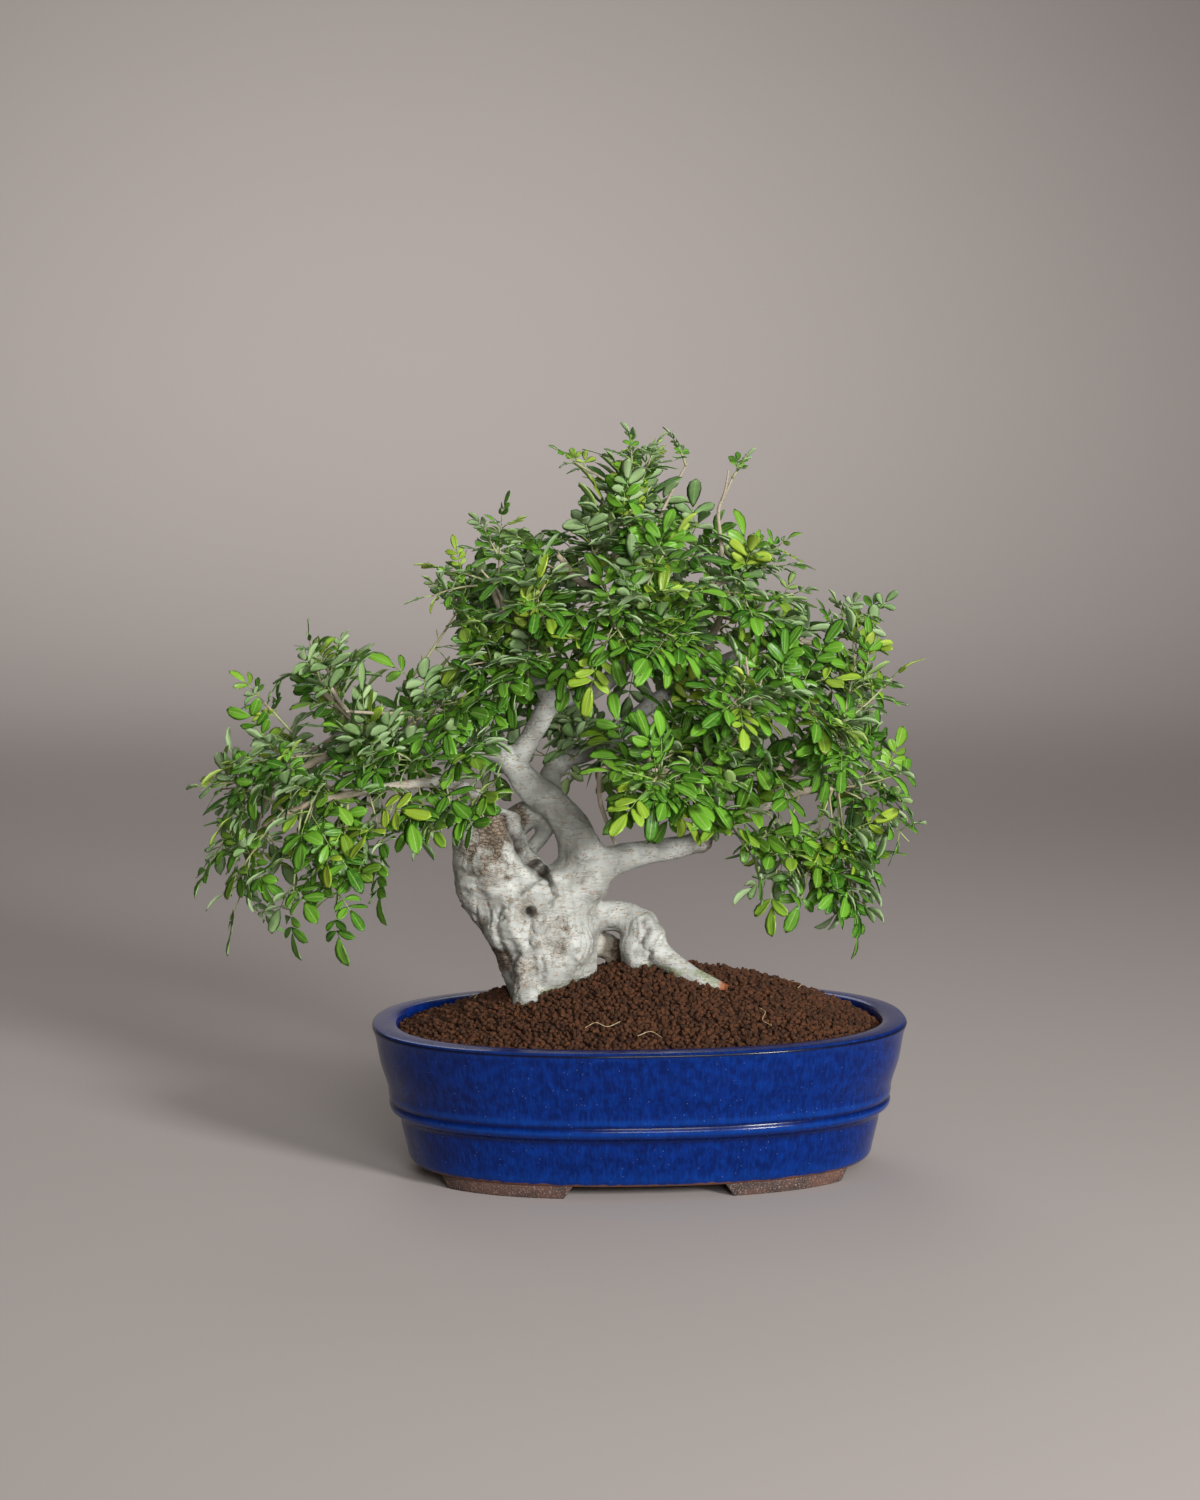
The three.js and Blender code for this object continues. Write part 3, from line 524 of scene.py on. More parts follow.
def new_material(name):
    """A new material and its tree, which has no nodes yet."""
    material = bpy.data.materials.new(name)
    material.use_nodes = True
    tree = material.node_tree
    tree.nodes.clear()
    return material, tree


def add_node(tree, kind, inputs=None, **settings):
    """Adds a node. An input takes a node's first output, another socket, a hex colour or a value."""
    node = tree.nodes.new("ShaderNode" + kind)
    for key, value in settings.items():
        setattr(node, key, value)
    for key, value in (inputs or {}).items():
        if isinstance(value, bpy.types.Node):
            value = value.outputs[0]
        if isinstance(value, bpy.types.NodeSocket):
            tree.links.new(value, node.inputs[key])
        elif isinstance(value, str):
            node.inputs[key].default_value = (*linear(value), 1)
        elif isinstance(value, tuple) and node.inputs[key].type == "RGBA":
            node.inputs[key].default_value = (*value[:3], 1)
        else:
            node.inputs[key].default_value = value
    return node


def finish_material(tree, shader):
    """Links the finished shader to the material's output."""
    add_node(tree, "OutputMaterial", {"Surface": shader})


def glaze_material(colour):
    """Cobalt stoneware glaze, poured and fired to a glassy coat.

    It breaks lighter over ridges, pools navy in grooves, burns to a brown line on the rim's edge, and
    runs in fine vertical streaks. It stops unevenly over the bare clay."""
    material, tree = new_material("cobalt_stoneware_glaze")
    place = add_node(tree, "TexCoord")
    millimetres = add_node(tree, "VectorMath", {
        0: place.outputs["Object"], "Scale": 1 / MM,
    }, operation="SCALE")
    stretched = add_node(tree, "Mapping", {"Vector": millimetres, "Scale": (1, 1, 0.12)})
    thin = add_node(tree, "Attribute", attribute_name="glaze_thin")
    pooled = add_node(tree, "Attribute", attribute_name="glaze_pooled")
    burnt = add_node(tree, "Attribute", attribute_name="glaze_burnt")
    # Streaks of about 2 mm, mottling of about 7 mm and clouds of about 60 mm.
    streaks = add_node(tree, "TexNoise", {"Vector": stretched, "Scale": 0.5, "Detail": 4, "Roughness": 0.6})
    mottling = add_node(tree, "TexNoise", {"Vector": millimetres, "Scale": 0.14, "Detail": 5})
    clouds = add_node(tree, "TexNoise", {"Vector": millimetres, "Scale": 0.017, "Detail": 2})
    streak_share = add_node(tree, "MapRange", {"Value": streaks, "From Min": 0.45, "From Max": 0.75})
    cloud_share = add_node(tree, "MapRange", {
        "Value": clouds, "From Min": 0.35, "From Max": 0.68, "To Max": 0.4,
    })
    mottle_share = add_node(tree, "MapRange", {
        "Value": mottling, "From Min": 0.42, "From Max": 0.7, "To Max": 0.55,
    })
    base = add_node(tree, "MixRGB", {"Fac": cloud_share, "Color1": colour, "Color2": "#010d3a"})
    lit = add_node(tree, "MixRGB", {"Fac": mottle_share, "Color1": base, "Color2": "#022a78"})
    streak_amount = add_node(tree, "Math", {0: streak_share, 1: 0.42}, operation="MULTIPLY")
    streaked = add_node(tree, "MixRGB", {"Fac": streak_amount, "Color1": lit, "Color2": "#043a8c"})
    thin_amount = add_node(tree, "Math", {0: thin.outputs["Fac"], 1: 0.45}, operation="MULTIPLY")
    broken = add_node(tree, "MixRGB", {"Fac": thin_amount, "Color1": streaked, "Color2": "#0a4498"})
    deep = add_node(tree, "MixRGB", {"Fac": pooled.outputs["Fac"], "Color1": broken, "Color2": "#050f38"})
    burnt_edge = add_node(tree, "MixRGB", {
        "Fac": burnt.outputs["Fac"], "Color1": deep, "Color2": "#0c0a10",
    })
    # Pinholes of about 1 mm that show the pale body, spread thinly.
    cells = add_node(tree, "TexVoronoi", {"Vector": millimetres, "Scale": 0.22})
    pinhole = add_node(tree, "MapRange", {
        "Value": cells.outputs["Distance"], "From Min": 0.07, "From Max": 0.04,
    })
    pinhole_amount = add_node(tree, "Math", {0: pinhole, 1: 0.5}, operation="MULTIPLY")
    specked = add_node(tree, "MixRGB", {"Fac": pinhole_amount, "Color1": burnt_edge, "Color2": "#8fa6d8"})
    # The glaze's lower edge wanders by about 2 mm over the clay.
    edge_noise = add_node(tree, "TexNoise", {"Vector": millimetres, "Scale": 0.12, "Detail": 4})
    height = add_node(tree, "SeparateXYZ", {0: millimetres})
    wander = add_node(tree, "Math", {0: edge_noise, 1: 5.0, 2: 9.2}, operation="MULTIPLY_ADD")
    above = add_node(tree, "Math", {0: height.outputs["Z"], 1: wander}, operation="SUBTRACT")
    glazed = add_node(tree, "MapRange", {"Value": above, "From Min": -0.3, "From Max": 0.4})
    surface = add_node(tree, "MixRGB", {"Fac": glazed, "Color1": "#6d4a3c", "Color2": specked})
    roughness = add_node(tree, "MapRange", {"Value": glazed, "To Min": 0.75, "To Max": 0.17})
    dull = add_node(tree, "Math", {0: mottling, 1: 0.12, 2: roughness}, operation="MULTIPLY_ADD")
    bump = add_node(tree, "Bump", {"Height": mottling, "Strength": 0.12, "Distance": 0.0012})
    shader = add_node(tree, "BsdfPrincipled", {
        "Base Color": surface, "Roughness": dull, "IOR": 1.42, "Specular IOR Level": 0.18,
        "Coat Weight": 0.12, "Coat Roughness": 0.06, "Normal": bump,
    })
    finish_material(tree, shader)
    return material


def clay_material():
    """Unglazed stoneware clay, pressed and fired: matte red-brown, gritty, darker where it was handled."""
    material, tree = new_material("bare_stoneware_clay")
    place = add_node(tree, "TexCoord")
    millimetres = add_node(tree, "VectorMath", {
        0: place.outputs["Object"], "Scale": 1 / MM,
    }, operation="SCALE")
    stains = add_node(tree, "TexNoise", {"Vector": millimetres, "Scale": 0.06, "Detail": 5})
    # Grit of about 1 mm.
    grit = add_node(tree, "TexNoise", {"Vector": millimetres, "Scale": 1.0, "Detail": 3})
    share = add_node(tree, "MapRange", {"Value": stains, "From Min": 0.35, "From Max": 0.65})
    base = add_node(tree, "MixRGB", {"Fac": share, "Color1": "#2e211d", "Color2": "#563a30"})
    grit_share = add_node(tree, "MapRange", {
        "Value": grit, "From Min": 0.55, "From Max": 0.7, "To Max": 0.5,
    })
    flecked = add_node(tree, "MixRGB", {"Fac": grit_share, "Color1": base, "Color2": "#b39a8a"})
    bump = add_node(tree, "Bump", {"Height": grit, "Strength": 0.5, "Distance": 0.0006})
    shader = add_node(tree, "BsdfPrincipled", {
        "Base Color": flecked, "Roughness": 0.8, "Normal": bump,
    })
    finish_material(tree, shader)
    return material


def bark_material(colour):
    """Ash bark: smooth, silver-grey and slightly satin on old wood, with tan breathing pores.

    Rough patches are brown and flaky, and moss greens the foot. Creases, hollows, furrows and wrinkle lines
    carry painted shade, nearly black, and one patch of painted shade darkens the root behind the arch."""
    material, tree = new_material("ash_bark")
    place = add_node(tree, "TexCoord")
    millimetres = add_node(tree, "VectorMath", {
        0: place.outputs["Object"], "Scale": 1 / MM,
    }, operation="SCALE")
    rough_and_shaded = add_node(tree, "Attribute", attribute_name="rough_and_shaded")
    painted_crease_shade = add_node(tree, "Attribute", attribute_name="painted_crease_shade")
    moss = add_node(tree, "Attribute", attribute_name="moss")
    young = add_node(tree, "Attribute", attribute_name="young")
    torn = add_node(tree, "Attribute", attribute_name="torn")
    # Clouds of about 25 mm, blotches of about 6 mm and grain of about 1 mm.
    clouds = add_node(tree, "TexNoise", {
        "Vector": millimetres, "Scale": 0.04, "Detail": 4, "Distortion": 0.4,
    })
    blotches = add_node(tree, "TexNoise", {
        "Vector": millimetres, "Scale": 0.16, "Detail": 6, "Roughness": 0.62,
    })
    grain = add_node(tree, "TexNoise", {
        "Vector": millimetres, "Scale": 0.9, "Detail": 5, "Roughness": 0.65,
    })
    cloud_share = add_node(tree, "MapRange", {"Value": clouds, "From Min": 0.36, "From Max": 0.62})
    pale = add_node(tree, "MixRGB", {"Fac": cloud_share, "Color1": colour, "Color2": "#b6b8b2"})
    grey_share = add_node(tree, "MapRange", {
        "Value": blotches, "From Min": 0.52, "From Max": 0.72, "To Max": 0.7,
    })
    greyed = add_node(tree, "MixRGB", {"Fac": grey_share, "Color1": pale, "Color2": "#8a897c"})
    grain_share = add_node(tree, "MapRange", {
        "Value": grain, "From Min": 0.52, "From Max": 0.75, "To Max": 0.5,
    })
    grained = add_node(tree, "MixRGB", {"Fac": grain_share, "Color1": greyed, "Color2": "#8c8070"})
    # Breathing pores: flattened spots about 1.5 mm across, some 3 mm apart.
    lying = add_node(tree, "Mapping", {"Vector": millimetres, "Scale": (0.7, 0.7, 1.5)})
    pores = add_node(tree, "TexVoronoi", {"Vector": lying, "Scale": 0.3})
    pore = add_node(tree, "MapRange", {
        "Value": pores.outputs["Distance"], "From Min": 0.27, "From Max": 0.15,
    })
    pore_amount = add_node(tree, "Math", {0: pore, 1: 0.75}, operation="MULTIPLY")
    pored = add_node(tree, "MixRGB", {"Fac": pore_amount, "Color1": grained, "Color2": "#a5805c"})
    # Wrinkles lie round the wood as thin dark lines, some 6 mm apart.
    banded = add_node(tree, "Mapping", {"Vector": millimetres, "Scale": (0.35, 0.35, 1.3)})
    folds = add_node(tree, "TexNoise", {"Vector": banded, "Scale": 0.11, "Detail": 3, "Roughness": 0.55})
    off_fold = add_node(tree, "Math", {0: folds, 1: 0.5}, operation="SUBTRACT")
    fold_side = add_node(tree, "Math", {0: off_fold}, operation="ABSOLUTE")
    fold = add_node(tree, "MapRange", {
        "Value": fold_side, "From Min": 0.016, "From Max": 0.003, "To Max": 0.5,
    })
    wrinkled = add_node(tree, "MixRGB", {"Fac": fold, "Color1": pored, "Color2": "#66584a"})
    twiggy = add_node(tree, "MixRGB", {
        "Fac": young.outputs["Fac"], "Color1": wrinkled, "Color2": "#a08e74",
    })
    # Rough patches, and the patch of painted shade behind the arch, break up along the blotches.
    both = add_node(tree, "MixRGB", {"Fac": 0.5, "Color1": blotches, "Color2": grain})
    broken = add_node(tree, "Math", {0: both, 1: 0.5}, operation="SUBTRACT")
    spread = add_node(tree, "Math", {0: broken, 1: 2.4, 2: rough_and_shaded.outputs["Fac"]}, operation="MULTIPLY_ADD")
    rough_and_shaded_share = add_node(tree, "MapRange", {
        "Value": spread, "From Min": 0.3, "From Max": 0.85, "To Max": 0.8,
    })
    brown = add_node(tree, "MixRGB", {"Fac": grain_share, "Color1": "#85705a", "Color2": "#4a3c2e"})
    patched = add_node(tree, "MixRGB", {"Fac": rough_and_shaded_share, "Color1": twiggy, "Color2": brown})
    moss_spread = add_node(tree, "Math", {
        0: broken, 1: 2.0, 2: moss.outputs["Fac"],
    }, operation="MULTIPLY_ADD")
    moss_share = add_node(tree, "MapRange", {
        "Value": moss_spread, "From Min": 0.35, "From Max": 0.8, "To Max": 0.75,
    })
    mossy = add_node(tree, "MixRGB", {"Fac": moss_share, "Color1": patched, "Color2": "#66703c"})
    raw_wood = add_node(tree, "MixRGB", {"Fac": grain_share, "Color1": "#8c4e28", "Color2": "#562a16"})
    bared = add_node(tree, "MixRGB", {"Fac": torn.outputs["Fac"], "Color1": mossy, "Color2": raw_wood})
    # Flakes of about 4 mm on the rough patches, parted by dark cracks.
    warp = add_node(tree, "VectorMath", {0: blotches.outputs["Color"], "Scale": 6.0}, operation="SCALE")
    warped = add_node(tree, "VectorMath", {0: lying, 1: warp}, operation="ADD")
    flakes = add_node(tree, "TexVoronoi", {"Vector": warped, "Scale": 0.26}, feature="DISTANCE_TO_EDGE")
    parting = add_node(tree, "MapRange", {
        "Value": flakes.outputs["Distance"], "From Min": 0.14, "From Max": 0.02, "To Max": 0.85,
    })
    parted = add_node(tree, "Math", {0: parting, 1: rough_and_shaded_share}, operation="MULTIPLY")
    flaked = add_node(tree, "MixRGB", {"Fac": parted, "Color1": bared, "Color2": "#33261c"})
    # Painted shade: the carved creases, hollows, furrows and wrinkle lines are darkened nearly to black,
    # where shade falls in them.
    painted_crease_shade_share = add_node(tree, "MapRange", {
        "Value": painted_crease_shade.outputs["Fac"], "From Min": 0.15, "From Max": 0.85, "To Max": 0.92,
    })
    surface = add_node(tree, "MixRGB", {"Fac": painted_crease_shade_share, "Color1": flaked, "Color2": "#2e221a"})
    raised = add_node(tree, "Math", {0: grain, 1: pore}, operation="ADD")
    sunk = add_node(tree, "Math", {0: fold, 1: parted}, operation="ADD")
    height = add_node(tree, "Math", {0: raised, 1: sunk}, operation="SUBTRACT")
    relief = add_node(tree, "MapRange", {"Value": rough_and_shaded_share, "To Min": 0.45, "To Max": 1.0})
    bump = add_node(tree, "Bump", {"Height": height, "Strength": relief, "Distance": 0.0012})
    shader = add_node(tree, "BsdfPrincipled", {
        "Base Color": surface, "Roughness": 0.62, "Specular IOR Level": 0.4, "Normal": bump,
    })
    finish_material(tree, shader)
    return material


def leaf_material(name, dark, light, roughness, veins):
    """Ash leaf: a waxy green skin over soft tissue, with a pale midrib and fine side veins.

    Tones differ from leaf to leaf, some leaves yellow, and a few tips and edges are browned."""
    material, tree = new_material(name)
    tone = add_node(tree, "Attribute", attribute_name="tone")
    yellow = add_node(tree, "Attribute", attribute_name="yellow")
    leaf_place = add_node(tree, "UVMap", uv_map="leaf")
    parts = add_node(tree, "SeparateXYZ", {0: leaf_place})
    place = add_node(tree, "TexCoord")
    blotches = add_node(tree, "TexNoise", {"Vector": place.outputs["Object"], "Scale": 260, "Detail": 3})
    green = add_node(tree, "MixRGB", {"Fac": tone.outputs["Fac"], "Color1": dark, "Color2": light})
    blotch_share = add_node(tree, "MapRange", {
        "Value": blotches, "From Min": 0.4, "From Max": 0.75, "To Max": 0.35,
    })
    mottled = add_node(tree, "MixRGB", {"Fac": blotch_share, "Color1": green, "Color2": light})
    yellowed = add_node(tree, "MixRGB", {
        "Fac": yellow.outputs["Fac"], "Color1": mottled, "Color2": "#a6be38",
    })
    # Distance from the midrib, from 0 at the rib to 1 at the leaf's edge.
    across = add_node(tree, "Math", {0: parts.outputs["X"], 1: 0.5}, operation="SUBTRACT")
    from_rib = add_node(tree, "Math", {0: across}, operation="ABSOLUTE")
    rib = add_node(tree, "MapRange", {
        "Value": from_rib, "From Min": 0.055, "From Max": 0.02, "To Max": veins,
    })
    # Seven pairs of side veins that sweep forward.
    swept = add_node(tree, "Math", {0: from_rib, 1: -0.9, 2: parts.outputs["Y"]}, operation="MULTIPLY_ADD")
    wave = add_node(tree, "Math", {0: swept, 1: 44}, operation="MULTIPLY")
    ripple = add_node(tree, "Math", {0: wave}, operation="SINE")
    vein = add_node(tree, "MapRange", {
        "Value": ripple, "From Min": 0.86, "From Max": 1.0, "To Max": veins * 0.4,
    })
    both = add_node(tree, "Math", {0: rib, 1: vein}, operation="MAXIMUM")
    veined = add_node(tree, "MixRGB", {"Fac": both, "Color1": yellowed, "Color2": "#a4c468"})
    # Browned edges and tips, only on the few darkest leaves.
    edge = add_node(tree, "MapRange", {"Value": from_rib, "From Min": 0.42, "From Max": 0.5})
    tip = add_node(tree, "MapRange", {"Value": parts.outputs["Y"], "From Min": 0.9, "From Max": 1.0})
    outer = add_node(tree, "Math", {0: edge, 1: tip}, operation="MAXIMUM")
    browned = add_node(tree, "MapRange", {
        "Value": tone.outputs["Fac"], "From Min": 0.1, "From Max": 0.02, "To Max": 0.6,
    })
    brown_share = add_node(tree, "Math", {0: outer, 1: browned}, operation="MULTIPLY")
    surface = add_node(tree, "MixRGB", {"Fac": brown_share, "Color1": veined, "Color2": "#5e3a2c"})
    bump = add_node(tree, "Bump", {"Height": both, "Strength": 0.5, "Distance": 0.0003})
    shader = add_node(tree, "BsdfPrincipled", {
        "Base Color": surface, "Roughness": roughness, "IOR": 1.42, "Normal": bump,
    })
    # Light that comes through the leaf.
    glow = add_node(tree, "BsdfTranslucent", {"Color": surface})
    mixed = add_node(tree, "MixShader", {0: 0.16, 1: shader, 2: glow})
    finish_material(tree, mixed)
    return material


def stalk_material(name, young, old, size):
    """Living stalk skin: smooth and satin, with a soft change of colour along it."""
    material, tree = new_material(name)
    place = add_node(tree, "TexCoord")
    patches = add_node(tree, "TexNoise", {
        "Vector": place.outputs["Object"], "Scale": 1 / (size * MM), "Detail": 4,
    })
    share = add_node(tree, "MapRange", {"Value": patches, "From Min": 0.38, "From Max": 0.64})
    surface = add_node(tree, "MixRGB", {"Fac": share, "Color1": young, "Color2": old})
    bump = add_node(tree, "Bump", {"Height": patches, "Strength": 0.3, "Distance": 0.0003})
    shader = add_node(tree, "BsdfPrincipled", {
        "Base Color": surface, "Roughness": 0.55, "Normal": bump,
    })
    finish_material(tree, shader)
    return material


def fired_soil_material(colour):
    """Granular bonsai soil of hard-fired clay: matte and gritty, each grain with its own red-brown."""
    material, tree = new_material("fired_clay_granules")
    place = add_node(tree, "TexCoord")
    tone = add_node(tree, "Attribute", attribute_name="tone")
    # Grit of about 0.7 mm on every grain.
    grit = add_node(tree, "TexNoise", {
        "Vector": place.outputs["Object"], "Scale": 1400, "Detail": 4, "Roughness": 0.7,
    })
    base = add_node(tree, "MixRGB", {"Fac": tone.outputs["Fac"], "Color1": "#20110a", "Color2": colour})
    share = add_node(tree, "MapRange", {"Value": grit, "From Min": 0.45, "From Max": 0.75, "To Max": 0.55})
    flecked = add_node(tree, "MixRGB", {"Fac": share, "Color1": base, "Color2": "#7e5438"})
    bump = add_node(tree, "Bump", {"Height": grit, "Strength": 0.8, "Distance": 0.0006})
    shader = add_node(tree, "BsdfPrincipled", {
        "Base Color": flecked, "Roughness": 0.92, "Specular IOR Level": 0.25, "Normal": bump,
    })
    finish_material(tree, shader)
    return material


def soil_bed_material():
    """Packed soil under the loose grains: the same fired clay, in shade, with grains of about 4 mm."""
    material, tree = new_material("packed_soil")
    place = add_node(tree, "TexCoord")
    grains = add_node(tree, "TexVoronoi", {"Vector": place.outputs["Object"], "Scale": 240})
    surface = add_node(tree, "MixRGB", {
        "Fac": grains.outputs["Distance"], "Color1": "#3a2216", "Color2": "#1a0f0a",
    })
    bump = add_node(tree, "Bump", {
        "Height": grains.outputs["Distance"], "Strength": 1.0, "Distance": 0.002,
    }, invert=True)
    shader = add_node(tree, "BsdfPrincipled", {
        "Base Color": surface, "Roughness": 0.95, "Specular IOR Level": 0.2, "Normal": bump,
    })
    finish_material(tree, shader)
    return material


def mesh_plastic_material():
    """Moulded polyethylene mesh: nearly black, slightly glossy, dusted with soil."""
    material, tree = new_material("black_polyethylene_mesh")
    place = add_node(tree, "TexCoord")
    dust = add_node(tree, "TexNoise", {"Vector": place.outputs["Object"], "Scale": 300, "Detail": 4})
    share = add_node(tree, "MapRange", {"Value": dust, "From Min": 0.5, "From Max": 0.7, "To Max": 0.6})
    surface = add_node(tree, "MixRGB", {"Fac": share, "Color1": "#17191a", "Color2": "#5b4335"})
    roughness = add_node(tree, "MapRange", {"Value": share, "To Min": 0.42, "To Max": 0.85})
    shader = add_node(tree, "BsdfPrincipled", {"Base Color": surface, "Roughness": roughness})
    finish_material(tree, shader)
    return material


def wire_material():
    """Drawn aluminium wire: a dull silver metal, with soil stains."""
    material, tree = new_material("drawn_aluminium_wire")
    place = add_node(tree, "TexCoord")
    stains = add_node(tree, "TexNoise", {"Vector": place.outputs["Object"], "Scale": 400, "Detail": 4})
    share = add_node(tree, "MapRange", {"Value": stains, "From Min": 0.5, "From Max": 0.72, "To Max": 0.7})
    surface = add_node(tree, "MixRGB", {"Fac": share, "Color1": "#b9bcbe", "Color2": "#6e6157"})
    roughness = add_node(tree, "MapRange", {"Value": share, "To Min": 0.3, "To Max": 0.6})
    shader = add_node(tree, "BsdfPrincipled", {
        "Base Color": surface, "Metallic": 1.0, "Roughness": roughness,
    })
    finish_material(tree, shader)
    return material


def paper_material(colour):
    """Matte background paper: even, pale and a little warm."""
    material, tree = new_material("background_paper")
    place = add_node(tree, "TexCoord")
    fibres = add_node(tree, "TexNoise", {"Vector": place.outputs["Object"], "Scale": 3, "Detail": 2})
    share = add_node(tree, "MapRange", {"Value": fibres, "To Max": 0.08})
    surface = add_node(tree, "MixRGB", {"Fac": share, "Color1": colour, "Color2": "#a39a96"})
    shader = add_node(tree, "BsdfPrincipled", {
        "Base Color": surface, "Roughness": 0.9, "Specular IOR Level": 0.15,
    })
    finish_material(tree, shader)
    return material


# Pot

def to_oval(x, y, inset, z):
    """Moves a point out or in along its direction from the middle, onto the oval with this inset."""
    pot = bpy.context.scene.bonsai_pot
    angle = math.atan2(y, x)
    across = abs(math.cos(angle) / (pot.length / 2 - inset)) ** pot.ovalness
    deep = abs(math.sin(angle) / (pot.depth / 2 - inset)) ** pot.ovalness
    reach = (across + deep) ** (-1 / pot.ovalness)
    return ORIGIN + Vector((reach * math.cos(angle), reach * math.sin(angle), z)) * MM


def oval_skin(profile, closed):
    """Raises a ring of edges from level to level of a profile of insets and heights.

    A closed profile joins its last ring to its first, and an open one fills both."""
    clear_selection()
    bpy.ops.mesh.primitive_circle_add(vertices=bpy.context.scene.bonsai_pot.sides, radius=0.1)
    skin = bpy.context.active_object
    bpy.ops.object.mode_set(mode="EDIT")
    levels = [*profile, profile[0]] if closed else profile
    for number, (inset, z) in enumerate(levels):
        if number == 1 and not closed:
            bpy.ops.mesh.edge_face_add()
        if number:
            bpy.ops.mesh.extrude_edges_indiv()
        mesh = bmesh.from_edit_mesh(skin.data)
        for vertex in mesh.verts:
            if vertex.select:
                centred = vertex.co - ORIGIN if number else vertex.co
                vertex.co = to_oval(centred.x, centred.y, inset, z)
        bmesh.update_edit_mesh(skin.data)
    if not closed:
        bpy.ops.mesh.edge_face_add()
    bpy.ops.mesh.select_all(action="SELECT")
    bpy.ops.mesh.remove_doubles(threshold=1e-6)
    bpy.ops.mesh.normals_make_consistent(inside=False)
    bpy.ops.object.mode_set(mode="OBJECT")
    return skin


def cut_away(piece, tool):
    """Cuts the tool's shape out of a piece and removes the tool."""
    apply_modifier(piece, "BOOLEAN", operation="DIFFERENCE", solver="EXACT", object=tool)
    bpy.data.objects.remove(tool)


def foot_gap_tool(top, bottom, along_x):
    """A prism as wide as the gap between two feet, wider below, that runs through the whole pot."""
    clear_selection()
    bpy.ops.mesh.primitive_cube_add(size=1)
    tool = bpy.context.active_object
    run = 500
    overlap = 1
    for vertex in tool.data.vertices:
        upper = vertex.co.z > 0
        half = top if upper else bottom
        side = half * (1 if vertex.co.x > 0 else -1)
        end = run * (1 if vertex.co.y > 0 else -1)
        z = POT_UNDERSIDE + overlap if upper else -overlap
        place = (-end, side, z) if along_x else (side, end, z)
        vertex.co = ORIGIN + Vector(place) * MM
    recalculate_normals(tool)
    return tool


def make_feet():
    """An oval ring under the pot with four gaps, which leave four bracket feet with worn edges."""
    top = POT_UNDERSIDE + 0.5
    inner_wear = 1.2
    outer_wear = 1.8
    feet = oval_skin([
        (FOOT_OUTSIDE, top), (FOOT_INSIDE, top), (FOOT_INSIDE, inner_wear), (FOOT_INSIDE - inner_wear, 0),
        (FOOT_OUTSIDE + outer_wear, 0), (FOOT_OUTSIDE + 0.5, 0.5), (FOOT_OUTSIDE, outer_wear),
    ], closed=True)
    for gap_top, gap_bottom, along_x in FOOT_GAPS:
        cut_away(feet, foot_gap_tool(gap_top, gap_bottom, along_x))
    sharp = math.radians(40)
    apply_modifier(feet, "BEVEL", width=0.8 * MM, segments=2, limit_method="ANGLE", angle_limit=sharp)
    return feet


def make_bowl():
    """The pot's wall, lip and floor, with the drain holes."""
    flat_ring = 60
    outline = [(inset, z, 0) for inset, z in [*POT_OUTSIDE, *POT_INSIDE]]
    rounded = [(inset, z) for inset, z, _ in smooth_line(outline, 3)]
    bowl = oval_skin([
        (FLAT_CENTRE_INSET, POT_UNDERSIDE), (flat_ring, POT_UNDERSIDE), *rounded,
        (flat_ring, POT_FLOOR), (FLAT_CENTRE_INSET, POT_FLOOR),
    ], closed=False)
    radius = DRAIN_RADIUS * MM
    height = 60 * MM
    for x in (-DRAIN_X, DRAIN_X):
        clear_selection()
        at = ORIGIN + Vector((x, 0, POT_UNDERSIDE)) * MM
        bpy.ops.mesh.primitive_cylinder_add(vertices=40, radius=radius, depth=height, location=at)
        tool = bpy.context.active_object
        bpy.ops.object.transform_apply(location=True, rotation=True, scale=True)
        cut_away(bowl, tool)
    return bowl


def paint_glaze(pot):
    """Gives outside and lip faces the glaze, and stores how thin, pooled or burnt the glaze is."""
    for face in pot.data.polygons:
        middle = from_frame(face.center)
        outward = face.normal.x * middle[0] + face.normal.y * middle[1] * 2
        outside = outward > 0.5 and middle[2] > POT_UNDERSIDE + 0.1
        face.material_index = 0 if outside or middle[2] > INNER_GLAZE_END else 1
    places = from_frame(vertex_places(pot))
    z = places[:, 2]
    settings = bpy.context.scene.bonsai_pot
    across = np.abs(places[:, 0] / (settings.length / 2)) ** settings.ovalness
    deep = np.abs(places[:, 1] / (settings.depth / 2)) ** settings.ovalness
    rim = (across + deep) ** (1 / settings.ovalness)
    ridges = hump(z, UPPER_RIDGE, 1.6) + hump(z, LOWER_RIDGE, 1.8)
    lip = soft_step(rim, 0.972, 0.995) * soft_step(z, 108, 113)
    thin = 0.85 * ridges + 0.25 * lip + 0.35 * soft_step(z, 24, 14)
    pooled = 0.85 * hump(z, BELT_GROOVE, 1.3) + 0.6 * hump(z, BELT_FOOT, 2.6)
    burnt = hump(z, LIP_EDGE, 1.1) * soft_step(rim, 0.985, 0.998)
    set_vertex_value(pot, "glaze_thin", np.clip(thin, 0, 1))
    set_vertex_value(pot, "glaze_pooled", np.clip(pooled, 0, 1))
    set_vertex_value(pot, "glaze_burnt", np.clip(burnt, 0, 1))


# Wood

def all_limbs():
    """Every limb and root, by name."""
    return {**STOUT_LIMBS, **BARE_LIMBS, **LEAFY_LIMBS}


def add_tube(stops, steps, sides):
    """A closed round tube through the stops, each with its own radius."""
    clear_selection()
    bpy.ops.curve.primitive_bezier_curve_add()
    tube = bpy.context.active_object
    line = smooth_line(stops, steps)
    curve = tube.data
    curve.splines.clear()
    spline = curve.splines.new("POLY")
    spline.points.add(len(line) - 1)
    for point, place, radius in zip(spline.points, to_frame(line[:, :3]), line[:, 3]):
        point.co = (*place, 1)
        point.radius = radius
    curve.bevel_depth = MM
    curve.bevel_resolution = sides
    curve.use_fill_caps = True
    tube.location = (0, 0, 0)
    select_only(tube)
    bpy.ops.object.convert(target="MESH")
    return bpy.context.active_object


